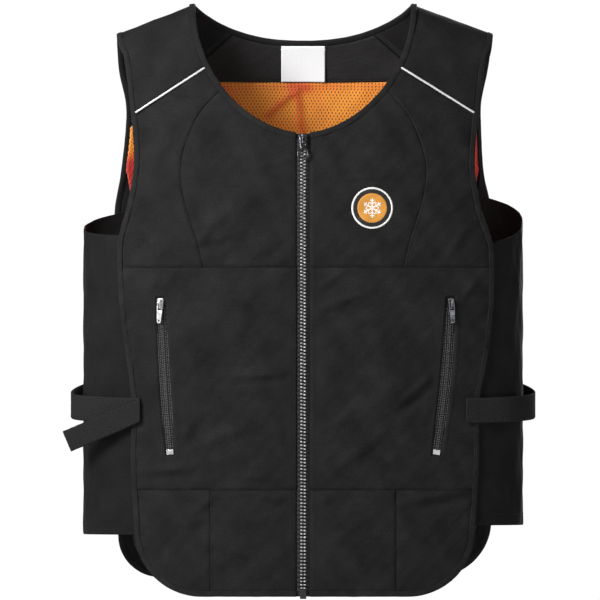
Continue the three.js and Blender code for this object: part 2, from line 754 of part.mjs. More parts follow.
// The mesh inside one front.
function frontLining(side) {
  const columns = 6;
  const seamLow = 4;
  const innerReach = zipGap + tapeWidth + 2;
  const neckRoom = edgeRoom + 2;
  const neckStart = Math.acos((innerReach / halfNeck) ** (neckFrontPower / 2)) / degree;
  const neckEnd = neckFrontAngle(yokeFrontNeckDrop);
  const neck = inset(
    range(4, (t) => neckFrontAt(mix(neckStart, neckEnd, t))),
    -neckRoom,
  );
  neck[0].reach = innerReach;
  neck[4].drop += seamLow;
  const hemDrop = bodyLength - edgeRoom - 2;
  const outline = inset(frontOutline(side).slice(cornerMiddle), meshRoom);
  const outer = outline.filter((_, i) => i % 2 === 0 || i === outline.length - 1);
  outer[outer.length - 1].drop += seamLow;
  const cells = outer.length - 1;
  const zipCells = cells - 4;
  const inner = [
    ...straight({ reach: innerReach, drop: hemDrop }, neck[0], zipCells),
    ...neck.slice(1),
  ];
  const cornerStart = frontEdgeAt(side, bodyLength - hemCornerRadius).reach - hemCornerRadius;
  const hemInner = { reach: innerReach, drop: hemDrop };
  const bottom = [
    ...straight(hemInner, { reach: cornerStart, drop: hemDrop }, columns - 1),
    outer[0],
  ];
  const top = straight(inner[cells], outer[cells], columns);
  return meshWall(onSurface("front_plain", side, patch(bottom, top, inner, outer)));
}

// A stretch side panel. It passes round the side inside the bound edges of front and back.
function sidePanel(side) {
  const rows = 10;
  const columns = 12;
  const sink = clothThickness + bindingProud + clearance;
  const angleStep = 0.02;
  const angleOf = (reach) => Math.acos((reach / halfChest) ** (ovalness / 2));
  const place = (angle, drop) => {
    const reach = halfChest * Math.cos(angle) ** (2 / ovalness);
    return surface(angle < 0 ? "front_plain" : "back", signOf(side) * reach, drop);
  };
  const grid = range(rows, (v) =>
    range(columns, (u) => {
      const drop = mix(sideHemDrop[side], sideTopDrop(side, u), v);
      const front = angleOf(frontEdgeAt(side, drop).reach - sideOverlap);
      const back = angleOf(backEdgeAt(side, drop).reach - sideOverlap);
      const angle = mix(-front, back, u);
      const { at, out } = spot(place, angle, drop, angleStep);
      return { at, out: out.x * signOf(side) < 0 ? out.negate() : out };
    }),
  );
  return wall(grid, -sink, sink + clothThickness);
}

// A bound edge: rows of two points, the outline and the binding's inner edge.
const bindingWall = (rows) => wall(rows, bindingProud, clothThickness + bindingProud);

function frontPairs(side, outline, turn) {
  const inner = inset(outline, turn * bindingWidth);
  inner[0].reach = zipGap;
  return onSurface("front", side, outline.map((p, i) => [p, inner[i]]));
}

const yokeNeckPair = (side, over) => [
  yokeSpot(side, over, 0),
  yokeSpot(side, over, yokeShare(side, over, 0, bindingWidth)),
];

const yokeArmPair = (side, over) => [
  yokeSpot(side, over, 1),
  yokeSpot(side, over, 1 - yokeShare(side, over, 1, bindingWidth)),
];

function neckBinding() {
  const half = (side) => [
    ...frontPairs(side, neckOutline(), -1),
    ...yokeOvers.slice(1, -1).map((over) => yokeNeckPair(side, over)),
    yokeNeckPair(side, 1),
  ];
  const inner = inset(backNeckLine, -bindingWidth);
  const back = backNeckLine.map((p, i) => [backSpot(p), backSpot(inner[i])]);
  return bindingWall([...half("left"), ...back.slice(1, -1), ...half("right").reverse()]);
}

// The two bindings of an armhole meet on the shoulder, this far from its middle.
const shoulderMeet = clearance / shoulderRound;

function frontBinding(side) {
  const overs = [...yokeOvers.slice(1, yokeCells / 2), -shoulderMeet];
  return bindingWall([
    ...frontPairs(side, frontOutline(side), 1),
    ...overs.map((over) => yokeArmPair(side, over)),
  ]);
}

function backBinding() {
  const overs = [shoulderMeet, ...yokeOvers.slice(yokeCells / 2 + 1, -1)];
  const half = (side) => {
    const outline = backOutline(side);
    const inner = inset(outline, -bindingWidth);
    inner[inner.length - 1].reach = 0;
    return [
      ...overs.map((over) => yokeArmPair(side, over)),
      ...outline.map((p, i) => [backSpot(signed(side, p)), backSpot(signed(side, inner[i]))]),
    ];
  };
  return bindingWall([...half("left"), ...half("right").reverse().slice(1)]);
}

// The frame of a surface at one place: across, up along it, and out of it. `lean` is how far
// its up direction moves outwards for each unit of height.
function frameAt(face, x, drop, lean) {
  const step = 2;
  const turn = face === "back" ? -1 : 1;
  const shift = Math.sign(x) * lean * step;
  const right = surface(face, x + turn * step, drop);
  const left = surface(face, x - turn * step, drop);
  const up = surface(face, x + shift, drop - step).sub(surface(face, x - shift, drop + step));
  up.normalize();
  const out = right.sub(left).cross(up).normalize();
  const across = up.clone().cross(out);
  return new THREE.Matrix4().makeBasis(across, up, out).setPosition(surface(face, x, drop));
}

// Piping in the front yoke seam, from one binding to the other, seated in the seam.
function piping(side) {
  const cells = 10;
  const radius = pipingDiameter / 2;
  const room = edgeRoom + radius;
  const from = yokeShare(side, -1, 0, room);
  const to = 1 - yokeShare(side, -1, 1, room);
  const points = range(cells, (t) => {
    const { at, out } = yokeSpot(side, -1, mix(from, to, t));
    return at.addScaledVector(out, radius + clearance);
  });
  const disc = new THREE.Shape();
  disc.absarc(0, 0, radius, 0, 2 * Math.PI);
  return new THREE.ExtrudeGeometry(disc, {
    extrudePath: new THREE.CatmullRomCurve3(points),
    steps: cells,
    curveSegments: 4,
    bevelEnabled: false,
  });
}

// A band along the zip, between two reaches, from `low` up to `high`.
function zipBand(reachA, reachB, low, high, over, under) {
  const cells = 12;
  const grid = range(cells, (t) => {
    const drop = mix(low, high, t);
    return [reachA, reachB].map((x) => bodySpot("front_plain", x, drop));
  });
  return wall(grid, over, under);
}

const tapeTop = clothThickness + bindingProud + clearance;
const neckAtZip = neckFrontDrop + clearance;

function extruded(shape, depth) {
  return new THREE.ExtrudeGeometry(shape, { depth, bevelEnabled: false, curveSegments: 5 });
}

const manifoldOf = (geometry) => {
  const bare = geometry.index ? geometry.toNonIndexed() : geometry.clone();
  for (const name of Object.keys(bare.attributes)) {
    if (name !== "position") bare.deleteAttribute(name);
  }
  const merged = mergeVertices(bare, 1e-4);
  return new wasm.Manifold(
    new wasm.Mesh({
      numProp: 3,
      vertProperties: merged.attributes.position.array,
      triVerts: new Uint32Array(merged.index.array),
    }),
  );
};

function geometryOf(manifold) {
  const mesh = manifold.getMesh();
  const geometry = new THREE.BufferGeometry();
  const positions = [];
  for (let i = 0; i < mesh.numVert; i += 1) {
    for (let k = 0; k < 3; k += 1) positions.push(mesh.vertProperties[i * mesh.numProp + k]);
  }
  geometry.setAttribute("position", new THREE.Float32BufferAttribute(positions, 3));
  geometry.setIndex([...mesh.triVerts]);
  geometry.computeVertexNormals();
  return geometry;
}

const box = (w, h, d, x, y, z) => new THREE.BoxGeometry(w, h, d).translate(x, y, z);

// A zip slider: a shield-shaped body with a bridge on it that holds the pull. Its outline runs
// from the foot to the head: shares of the width out and of the length up from the middle.
const sliderOutline = [
  { out: 0.32, up: -0.5 },
  { out: 0.42, up: 0.05 },
  { out: 0.5, up: 0.375 },
  { out: 0.34, up: 0.5 },
];
const bridgeShare = 0.8; // of the slider's length
const bridgeBar = 1.5; // thickness of the bridge
const barSize = 1.6; // square section of the pull's bar under the bridge
const barRoom = 0.5; // round the bar as it turns
const barHeight = barSize * Math.SQRT1_2 + barRoom; // of the bar's middle over the body
function sliderGeometry(length, width, bridgeWidth, thickness) {
  const right = sliderOutline.map(({ out, up }) => new THREE.Vector2(width * out, length * up));
  const left = right.map((p) => new THREE.Vector2(-p.x, p.y)).reverse();
  const shape = new THREE.Shape([...right, ...left]);
  const body = manifoldOf(extruded(shape, thickness));
  const top = thickness + 2 * barHeight + bridgeBar;
  const bridgeLength = length * bridgeShare;
  const arch = manifoldOf(box(bridgeWidth, bridgeLength, top, 0, 0, top / 2));
  const windowHeight = 2 * barHeight;
  const windowLength = bridgeLength - 2 * bridgeBar;
  const window = manifoldOf(
    box(bridgeWidth * 2, windowLength, windowHeight, 0, 0, thickness + windowHeight / 2),
  );
  return geometryOf(body.add(arch.subtract(window)));
}

// A pull whose top bar lies on its own hinge axis, along local X. The plate hangs down -Y.
const eyeRoom = 2.2; // between the bridge and the two sides of the pull's eye, together
const eyeSide = 1.5; // width of metal beside the eye
const pullHang = 0.1; // the hinge is this share of the slider's length above its middle
function pullGeometry(outlineShape, holes, bridgeWidth, eyeLength) {
  const shape = outlineShape;
  const eyeWidth = bridgeWidth + eyeRoom;
  const eye = new THREE.Path();
  const low = -eyeLength;
  const high = -barSize / 2;
  eye.moveTo(-eyeWidth / 2, high);
  eye.lineTo(-eyeWidth / 2, low);
  eye.lineTo(eyeWidth / 2, low);
  eye.lineTo(eyeWidth / 2, high);
  shape.holes.push(eye, ...holes);
  return extruded(shape, barSize).translate(0, 0, -barSize / 2);
}

function ringHole(y, radius) {
  const hole = new THREE.Path();
  hole.absarc(0, y, radius, 0, 2 * Math.PI, true);
  return hole;
}

// The front zip, from the neck down to the hem.
const frontBridge = 2.6;
const sliderThickness = 4.2;
const ringWire = 2.3;
const ringMouth = 35; // degrees to each side of the neck of the pull where its ring is open
const neckLength = 5; // of the stretch where the pull narrows to its ring
const neckShare = 0.75; // of the eye's width that is left there
const boxDepth = 3.4;
function frontZip() {
  const tape = (from, to) =>
    zipBand(from, to, bodyLength, neckAtZip, -tapeTop, tapeTop + tapeThickness);
  add("zip_tape_left", tape(-tapeSlit - tapeWidth, -tapeSlit), zipBlack);
  add("zip_tape_right", tape(tapeSlit, tapeSlit + tapeWidth), zipBlack);
  const sliderDrop = neckFrontDrop + clearance + sliderLength / 2 + 1;
  const chainTop = sliderDrop + sliderLength / 2 + clearance;
  const chainEnd = bodyLength + boxBelowHem - boxHeight - clearance;
  add(
    "zip_chain",
    zipBand(-chainWidth / 2, chainWidth / 2, chainEnd, chainTop, chainProud, clothThickness),
    toothGrey,
  );

  const place = frameAt("front_plain", 0, sliderDrop, 0);
  const slider = sliderGeometry(sliderLength, sliderWidth, frontBridge, sliderThickness);
  slider.translate(0, 0, -clothThickness);
  add("zip_slider", slider.applyMatrix4(place), gunmetal);

  const bar = sliderThickness - clothThickness + barHeight;
  const eyeLength = sliderLength * 0.5 + barSize + 1;
  const waistY = -eyeLength - 2;
  const ringRadius = pullRingWidth / 2;
  const ringY = -pullLength + ringRadius;
  const eyeHalf = (frontBridge + eyeRoom) / 2 + eyeSide;
  const neckHalf = eyeHalf * neckShare;
  const shape = new THREE.Shape();
  shape.moveTo(eyeHalf, barSize / 2);
  shape.lineTo(-eyeHalf, barSize / 2);
  shape.lineTo(-eyeHalf, waistY + neckLength);
  shape.lineTo(-neckHalf, waistY);
  shape.absarc(0, ringY, ringRadius, (90 + ringMouth) * degree, (450 - ringMouth) * degree, false);
  shape.lineTo(neckHalf, waistY);
  shape.lineTo(eyeHalf, waistY + neckLength);
  const hole = ringHole(ringY, ringRadius - ringWire);
  const pull = pullGeometry(shape, [hole], frontBridge, eyeLength);
  const toHinge = new THREE.Matrix4().makeTranslation(0, sliderLength * pullHang, bar);
  const hinge = place.clone().multiply(toHinge);
  add("zip_pull", pull.applyMatrix4(hinge), gunmetal);
  vest.userData.zip_pull = hinge;

  const boxPlace = frameAt("front_plain", 0, bodyLength + boxBelowHem - boxHeight / 2, 0);
  const retainer = box(boxWidth, boxHeight, boxDepth, 0, 0, boxDepth / 2 - clothThickness);
  add("zip_box", retainer.applyMatrix4(boxPlace), zipBlack);
}

// A pocket zip. `down` is measured along it from the top.
const pocketBridge = 2.2;
const pocketCells = 7;
const slotCut = 12; // how far the cutter of the slot reaches to each side of the cloth
const tapeOver = 9; // the tape runs on this far past each end of the slot
const stopDepth = 2.6;
const pocketSliderThickness = 3.4;
const pocketSliderTop = 1; // from the top of the slot
const pullHole = { radius: 1.2, fromEnd: 3 };
function pocketLine(side) {
  const bow = pocketBow[side];
  const fall = (pocketTopReach[side] - pocketBottomReach) / pocketLength;
  const turn = Math.PI / pocketLength;
  const lean = (down) => fall - bow * turn * Math.cos(turn * down);
  const at = (down) => ({
    reach: pocketTopReach[side] - fall * down + bow * Math.sin(turn * down),
    drop: pocketTopDrop + down,
  });
  return { lean, at };
}

function pocketBand(side, width, gape, from, to, over, under) {
  const { at } = pocketLine(side);
  const grid = range(pocketCells, (t) => {
    const { reach, drop } = at(mix(from, to, t));
    const middle = signOf(side) * reach;
    const half = (width + gape * Math.sin(Math.PI * t)) / 2;
    return [-half, half].map((w) => bodySpot("front_plain", middle + w, drop));
  });
  return wall(grid, over, under);
}

// The slot that a pocket zip needs in the cloth, as a solid to cut with.
function pocketSlot(side) {
  return manifoldOf(pocketBand(side, pocketSlotWidth, pocketSlotGape, 0, pocketLength, slotCut, slotCut));
}

function pocketZip(side) {
  const tapeEnd = pocketLength + tapeOver;
  add(
    `pocket_tape_${side}`,
    pocketBand(side, pocketTapeWidth, 0, -tapeOver, tapeEnd, -tapeTop, tapeTop + tapeThickness),
    zipBlack,
  );
  const coilFrom = pocketSliderTop + pocketSliderLength + clearance;
  const coilTo = pocketLength - stopHeight - 3 * clearance;
  add(
    `pocket_coil_${side}`,
    pocketBand(side, coilWidth, 0, coilFrom, coilTo, coilProud, clothThickness),
    zipBlack,
  );
  const { at, lean } = pocketLine(side);
  const frame = (down) => {
    const { reach, drop } = at(down);
    return frameAt("front_plain", signOf(side) * reach, drop, lean(down));
  };
  const stop = box(stopWidth, stopHeight, stopDepth, 0, 0, stopDepth / 2 - clothThickness);
  const stopAt = frame(pocketLength - stopHeight / 2 - 2 * clearance);
  add(`pocket_stop_${side}`, stop.applyMatrix4(stopAt), gunmetal);

  const thickness = pocketSliderThickness;
  const place = frame(pocketSliderTop + pocketSliderLength / 2);
  const slider = sliderGeometry(pocketSliderLength, pocketSliderWidth, pocketBridge, thickness);
  slider.translate(0, 0, -clothThickness);
  add(`pocket_slider_${side}`, slider.applyMatrix4(place), gunmetal);

  const bar = thickness - clothThickness + barHeight;
  const eyeLength = pocketSliderLength / 2 + barSize + 1.2;
  const outline = [
    { out: 0.5, y: barSize / 2 },
    { out: 0.47, y: -eyeLength - 1 },
    { out: 0.34, y: 2 - pocketPullLength },
    { out: 0.22, y: -pocketPullLength },
  ];
  const left = outline.map(({ out, y }) => new THREE.Vector2(-pocketPullWidth * out, y));
  const right = left.map((p) => new THREE.Vector2(-p.x, p.y)).reverse();
  const shape = new THREE.Shape([...left, ...right]);
  const hole = ringHole(pullHole.fromEnd - pocketPullLength, pullHole.radius);
  const pull = pullGeometry(shape, [hole], pocketBridge, eyeLength);
  const swing = new THREE.Matrix4().makeRotationZ(signOf(side) * pocketPullLean * degree);
  const recede = Math.asin(Math.max(0, -new THREE.Vector3().setFromMatrixColumn(place, 1).y));
  const hinge = place
    .clone()
    .multiply(new THREE.Matrix4().makeTranslation(0, pocketSliderLength * pullHang, bar))
    .multiply(swing)
    .multiply(new THREE.Matrix4().makeRotationX(-recede));
  add(`pocket_pull_${side}`, pull.applyMatrix4(hinge), gunmetal);
  vest.userData[`pocket_pull_${side}`] = hinge;
}

// A waist strap: it lies on the front, stands off the side panel in a loop and ends on the
// back. Stations run from the front end; each has its middle and the way its width runs.
const strapRoom = 0.4; // under the strap, besides the clearance
const strapCells = 18;
// The loop, from front to back: shares of the way out from the edge to the furthest reach, of
// the loop's half depth back, and of the way from the front's height to the back's.
const loopDepth = 0.18; // of halfChest
const strapLoop = [
  { out: 0.62, back: -1, down: 0.06 },
  { out: 1, back: -0.3, down: 0.18 },
  { out: 1, back: 0.3, down: 0.4 },
  { out: 0.62, back: 1, down: 0.75 },
];
function strapRows(side) {
  const sign = signOf(side);
  const lift = bindingProud + clearance + strapThickness / 2 + strapRoom;
  const sideReach = halfChest + strapBulge - strapThickness;
  const edgeReach = frontEdgeAt(side, strapDrop).reach;
  const lying = (face, reach, drop, over) => {
    const { at, out } = bodySpot(face, sign * reach, drop);
    return at.addScaledVector(out, over);
  };
  const backDrop = strapDrop - strapBackRise;
  const backReach = backEdgeAt(side, backDrop).reach;
  const frontEnd = lying("front_plain", strapEndReach, strapDrop, lift);
  const frontOff = lying("front_plain", edgeReach, strapDrop, lift);
  const backOff = lying("back", backReach, backDrop, lift + strapBackLift);
  const backEnd = lying("back", backReach - strapBackReach, backDrop, lift + strapBackLift / 2);
  const loop = strapLoop.map(({ out, back, down }) => {
    const x = mix(back < 0 ? edgeReach : backReach, sideReach, out);
    return new THREE.Vector3(sign * x, back * loopDepth * halfChest, -mix(strapDrop, backDrop, down));
  });
  const points = [frontEnd, frontOff, ...loop, backOff, backEnd];
  const path = new THREE.CatmullRomCurve3(points, false, "centripetal");
  return path.getSpacedPoints(strapCells);
}

// A band of even width along a path, as a closed solid.
function band(points, widthways, width, thickness) {
  const last = points.length - 1;
  const grid = points.map((p, i) => {
    const run = points[Math.min(i + 1, last)].clone().sub(points[Math.max(i - 1, 0)]);
    const out = run.cross(widthways[i]).normalize();
    return [-width / 2, width / 2].map((w) => ({
      at: p.clone().addScaledVector(widthways[i], w),
      out,
    }));
  });
  return wall(grid, thickness / 2, thickness / 2);
}

function strap(side) {
  const points = strapRows(side);
  const up = new THREE.Vector3(0, 0, 1);
  const widthways = points.map((p, i) => {
    const next = points[Math.min(i + 1, points.length - 1)];
    const last = points[Math.max(i - 1, 0)];
    const run = next.clone().sub(last).normalize();
    return up.clone().addScaledVector(run, -run.dot(up)).normalize();
  });
  return band(points, widthways, strapWidth, strapThickness);
}

// The loose tail of the left strap: it folds back over the strap's end and slopes down.
function strapTail(side) {
  const sign = signOf(side);
  const start = strapRows(side)[0];
  const fall = Math.tan(tailFall * degree);
  const run = new THREE.Vector3(sign, tailSweep, -fall).normalize();
  const over = strapThickness + clearance;
  const cells = 8;
  const turnCells = 3;
  const points = range(cells, (t) => {
    const p = start.clone().addScaledVector(run, t * tailLength);
    p.y -= over;
    return p;
  });
  const widthways = points.map((_, i) => {
    const turn = Math.min(i / turnCells, 1) * tailFall * degree;
    return new THREE.Vector3(sign * Math.sin(turn), 0, Math.cos(turn));
  });
  return band(points, widthways, tailWidth, strapThickness);
}

// The label inside the back of the neck, and the round badge on the right chest.
function careLabel() {
  const grid = range(3, (v) =>
    range(4, (u) => backSpot({
      reach: mix(-labelWidth / 2, labelWidth / 2, u),
      drop: mix(labelTopDrop + labelHeight, labelTopDrop, v),
    })),
  );
  const sink = facingSink + meshThickness + 2 * clearance;
  return wall(grid, -sink, sink + labelThickness);
}

function badge() {
  const cells = 6;
  const radius = badgeDiameter / 2;
  const grid = range(cells, (v) =>
    range(cells, (u) => {
      const a = 2 * u - 1;
      const b = 2 * v - 1;
      return bodySpot(
        "front",
        badgeReach + radius * a * Math.sqrt(1 - (b * b) / 2),
        badgeDrop - radius * b * Math.sqrt(1 - (a * a) / 2),
      );
    }),
  );
  return wall(grid, clearance + badgeThickness, -clearance);
}

for (const side of ["left", "right"]) {
  for (const [name, geometry] of frontPanels(side)) {
    const slotted = name.startsWith("front_waist")
      ? geometryOf(manifoldOf(geometry).subtract(pocketSlot(side)))
      : geometry;
    add(name, slotted, shellBlack);
  }
  add(`yoke_${side}`, yoke(side), shellBlack);
  add(`side_panel_${side}`, sidePanel(side), stretchBlack);
  add(`front_lining_${side}`, frontLining(side), meshOrange);
  add(`front_binding_${side}`, frontBinding(side), bindingBlack);
  add(`piping_${side}`, piping(side), reflectiveSilver);
  pocketZip(side);
  add(`strap_${side}`, strap(side), webbingBlack);
}
add("strap_tail", strapTail("left"), webbingBlack);
add("back_panel", backPanel(), shellBlack);
add("back_lining", backLining(), meshOrange);
add("back_facing", backFacing(), shellBlack);
add("neck_binding", neckBinding(), bindingBlack);
add("back_binding", backBinding(), bindingBlack);
frontZip();
add("care_label", careLabel(), labelWhite);
add("chest_badge", badge(), badgeOrange);

export default vest;
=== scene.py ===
import math

import bmesh
import bpy
import numpy as np
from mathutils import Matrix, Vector


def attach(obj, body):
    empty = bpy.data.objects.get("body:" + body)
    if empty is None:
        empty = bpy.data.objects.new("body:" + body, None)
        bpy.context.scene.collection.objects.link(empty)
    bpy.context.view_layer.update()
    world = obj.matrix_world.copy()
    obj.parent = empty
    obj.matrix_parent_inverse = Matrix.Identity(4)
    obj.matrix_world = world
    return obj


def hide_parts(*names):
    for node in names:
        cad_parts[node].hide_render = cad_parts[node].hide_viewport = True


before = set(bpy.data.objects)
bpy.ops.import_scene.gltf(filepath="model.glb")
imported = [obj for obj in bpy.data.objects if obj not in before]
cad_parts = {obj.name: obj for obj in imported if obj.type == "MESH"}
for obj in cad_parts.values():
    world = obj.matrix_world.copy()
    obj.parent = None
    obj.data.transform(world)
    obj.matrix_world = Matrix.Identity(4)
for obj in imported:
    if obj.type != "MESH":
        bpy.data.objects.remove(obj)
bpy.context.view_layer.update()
scene = bpy.context.scene

# The camera looks along +Y, level, from far off, as the photograph does
camera = {"distance": 24.0, "seen": 0.7085, "middle": (-0.0037, -0.3506), "plane": -0.08,
          "sensor": 36.0, "far": 100.0}
cameraData = bpy.data.cameras.new("camera")
cameraData.sensor_width = camera["sensor"]
cameraData.lens = camera["sensor"] * camera["distance"] / camera["seen"]
cameraData.clip_end = camera["far"]
cameraObject = bpy.data.objects.new("camera", cameraData)
cameraObject.location = (camera["middle"][0], camera["plane"] - camera["distance"], camera["middle"][1])
cameraObject.rotation_euler = (math.radians(90), 0, 0)
scene.collection.objects.link(cameraObject)
scene.camera = cameraObject
print("camera placed")

scene.view_settings.view_transform = "Standard"

# All lengths below are in millimetres, as in the solids; a mesh is made in metres
mm = 0.001
body = {
    "length": 701, "halfChest": 263.5, "depth": 182, "ovalness": 2.4, "shoulderRound": 26,
    "halfNeck": 128, "neckFront": 153, "neckBack": 42.5, "frontPower": 1.8, "backPower": 2.3,
    "backFlat": 1.2, "shoulderDrop": 36, "tip": {-1: 221, 1: 225}, "backHemRise": 21,
}
seams = {
    "chest": 312, "hem": 575, "hemSplit": 110, "corner": 79, "backCorner": {-1: 50, 1: 68}, "halfGap": 0.2,
    "yokeFrontNeck": 73, "yokeFrontArm": 133, "yokeBackNeck": 82, "yokeBackArm": 142,
    "facing": 88, "zipEdge": 8,
}
pocket = {"top": 347.5, "length": 186.5, "topReach": {-1: 168.5, 1: 174.5}, "lowReach": 157,
          "bow": {-1: 1, 1: 3.5}, "slot": 9.4, "gape": 4.6}
strapSeat = {"from": 180, "to": 230, "top": 462, "low": 500}
cloth = {
    "thickness": 1.8, "mesh": 1.2, "edgeRoom": 5.6, "rollDepth": 0.85, "rollWidth": 1.3, "step": 3.0,
    "foldGain": 1.8, "backWave": 1.4, "stitchAt": 2.2, "stitchSink": 0.3, "pucker": 0.28,
    "zipRoll": 0.7, "zipRollWidth": 1.6,
}

# Shares of the body's length down, and of its depth to the front and back
depthTable = np.array([
    (0, 0, 0), (0.09, 0.12, 0.175), (0.17, 0.245, 0.275), (0.26, 0.335, 0.33), (0.36, 0.375, 0.34),
    (0.47, 0.37, 0.335), (0.65, 0.33, 0.28), (0.82, 0.33, 0.3), (1, 0.36, 0.345),
])
# Shares of the body's length down, and of half the chest out on the left and right
frontEdgeTable = np.array([
    (0.051, 0.838, 0.854), (0.087, 0.808, 0.824), (0.151, 0.784, 0.801), (0.264, 0.759, 0.771),
    (0.338, 0.788, 0.793), (0.379, 0.819, 0.829), (0.411, 0.834, 0.855), (0.51, 0.824, 0.855),
    (0.6, 0.794, 0.828), (0.668, 0.771, 0.794), (0.776, 0.774, 0.79), (0.888, 0.757, 0.772),
])
backEdgeTable = np.array([
    (0.051, 0.838, 0.854), (0.111, 0.83, 0.832), (0.165, 0.8, 0.803), (0.2, 0.798, 0.802),
    (0.285, 0.822, 0.815), (0.35, 0.85, 0.85), (0.45, 0.85, 0.857), (0.65, 0.831, 0.84),
    (0.878, 0.834, 0.849),
])
princessTable = np.array([
    (0.32, 0.362), (0.385, 0.438), (0.446, 0.487), (0.53, 0.529), (0.63, 0.552), (0.72, 0.541),
    (0.8, 0.516), (0.9, 0.478), (1, 0.448),
])
# The folds that the solids have: place as shares, then length, breadth and height as shares of
# the depth, and the turn from level in degrees
mainFolds = [
    (-0.31, 0.36, 0.2, 0.12, 0.011, 52), (-0.17, 0.635, 0.24, 0.1, 0.013, 8),
    (-0.36, 0.53, 0.3, 0.16, 0.014, 64), (-0.2, 0.75, 0.24, 0.12, 0.013, 24),
    (-0.33, 0.855, 0.2, 0.1, 0.012, 50), (-0.15, 0.92, 0.26, 0.13, 0.013, -14),
    (0.26, 0.32, 0.24, 0.1, 0.01, 4), (0.17, 0.59, 0.26, 0.15, 0.014, 44),
    (0.42, 0.64, 0.24, 0.1, 0.014, 52), (0.27, 0.72, 0.3, 0.14, 0.013, 36),
    (0.18, 0.87, 0.22, 0.1, 0.012, -28), (0.2, 0.93, 0.22, 0.12, 0.013, 34),
]
# Smaller creases, in millimetres: across, down, length, breadth, height, turn in degrees
creases = [
    (134, 457, 26, 5, 2.3, 40), (127, 471, 24, 6, -1.6, 42), (152, 476, 22, 7, 1.4, 66),
    (60, 534, 32, 7, 1.7, 40), (42, 494, 24, 6, 1.7, 38), (28, 508, 18, 5, -1.1, 40),
    (164, 580, 40, 5, 2.0, 13), (160, 591, 36, 6, -1.4, 13), (141, 552, 26, 6, 1.7, -26),
    (150, 563, 20, 5, -1.2, -22), (-160, 550, 32, 5, 2.1, 4), (-150, 560, 26, 4, -1.2, 2),
    (-108, 480, 32, 13, 2.2, -12), (-46, 438, 34, 5, 1.9, 3), (-54, 447, 28, 5, -1.3, 5),
    (-88, 508, 26, 7, 1.4, 16), (-60, 500, 24, 6, 1.3, -18), (-134, 500, 22, 6, 1.2, 60),
    (-118, 592, 20, 5, 2.1, 42), (-127, 612, 20, 5, 1.7, 20), (-80, 646, 30, 7, 2.2, -20),
    (-32, 584, 22, 5, 1.8, -9), (-56, 560, 24, 4, 1.5, -6), (-48, 610, 26, 6, 1.1, 12),
    (-150, 642, 26, 7, 1.1, 54), (24, 585, 18, 5, 1.8, -15), (36, 636, 26, 7, 1.7, 30),
    (100, 640, 40, 9, 1.1, -12), (70, 612, 22, 5, 1.2, 34), (48, 351, 30, 5, 1.8, 19),
    (34, 326, 20, 4, 1.3, 30), (84, 372, 26, 7, 1.0, 12), (197, 338, 14, 4, 1.5, 48),
    (-26, 187, 22, 5, 1.3, 8), (-18, 302, 20, 5, 1.9, 12), (-30, 290, 18, 5, -1.1, 40),
    (-105, 286, 26, 5, -1.5, 12), (-112, 268, 22, 6, 1.4, 50), (74, 205, 26, 4, 1.3, 2),
    (78, 211, 24, 4, -1.1, 0), (64, 296, 24, 6, 1.1, 20), (178, 290, 26, 7, 1.2, 62),
    (-176, 330, 30, 8, 1.2, 80), (-70, 360, 50, 10, 1.2, 78), (90, 404, 50, 10, 1.2, 100),
]


def mix(a, b, t):
    return a + (b - a) * t


# The same smooth curve through a table's rows as the solids have
def through(xs, ys, at):
    slopes = np.gradient(ys, xs, edge_order=1)
    slopes[1:-1] = (ys[2:] - ys[:-2]) / (xs[2:] - xs[:-2])
    i = np.clip(np.searchsorted(xs, at, side="left") - 1, 0, len(xs) - 2)
    span = xs[i + 1] - xs[i]
    t = np.clip((at - xs[i]) / span, 0, 1)
    h = t * t * (3 - 2 * t)
    return mix(ys[i], ys[i + 1], h) + t * (1 - t) * span * ((1 - t) * slopes[i] - t * slopes[i + 1])


def smooth(t):
    t = np.clip(t, 0, 1)
    return t * t * (3 - 2 * t)


def bell(distance, width):
    return np.exp(-(distance / width) ** 2)


def pocketReach(side, drop):
    topReach = np.where(side < 0, pocket["topReach"][-1], pocket["topReach"][1])
    bow = np.where(side < 0, pocket["bow"][-1], pocket["bow"][1])
    share = (np.asarray(drop, float) - pocket["top"]) / pocket["length"]
    return mix(topReach, pocket["lowReach"], share) + bow * np.sin(math.pi * share)


def beyond(value, low, high):
    return np.maximum(np.maximum(low - value, value - high), 0)


# The zips and the strap ends hold the cloth flat around them
def slackOfCloth(x, drop):
    reach = np.abs(x)
    beside = np.maximum(np.abs(reach - pocketReach(x, drop)) - 8, 0)
    past = beyond(drop, pocket["top"], pocket["top"] + pocket["length"])
    fromStrap = np.hypot(beyond(reach, strapSeat["from"], strapSeat["to"]),
                         beyond(drop, strapSeat["top"], strapSeat["low"]))
    return smooth((reach - 9) / 20) * smooth(np.hypot(beside, past) / 16) * smooth(fromStrap / 14)


# Slow unevenness of cloth that was folded and pressed, from a few fixed waves
def unevenness(a, b):
    waves = [(61, 37, 0.3, 0.22), (-43, 71, 1.9, 0.2), (29, -53, 4.1, 0.16), (19, 23, 2.2, 0.1)]
    return sum(h * np.sin(2 * math.pi * (a / la + b / lb) + p) for la, lb, p, h in waves)


def foldHeight(x, drop):
    height = unevenness(x, drop)
    rows = [(a * body["halfChest"], d * body["length"], n * body["depth"], b * body["depth"],
             h * body["depth"], t) for a, d, n, b, h, t in mainFolds]
    for across, down, length, breadth, lift, turn in rows + creases:
        c, s = math.cos(math.radians(turn)), math.sin(math.radians(turn))
        dx, dz = x - across, down - drop
        height += lift * np.exp(-((dx * c + dz * s) / length) ** 2 - ((dz * c - dx * s) / breadth) ** 2)
    return cloth["foldGain"] * height * slackOfCloth(x, drop)


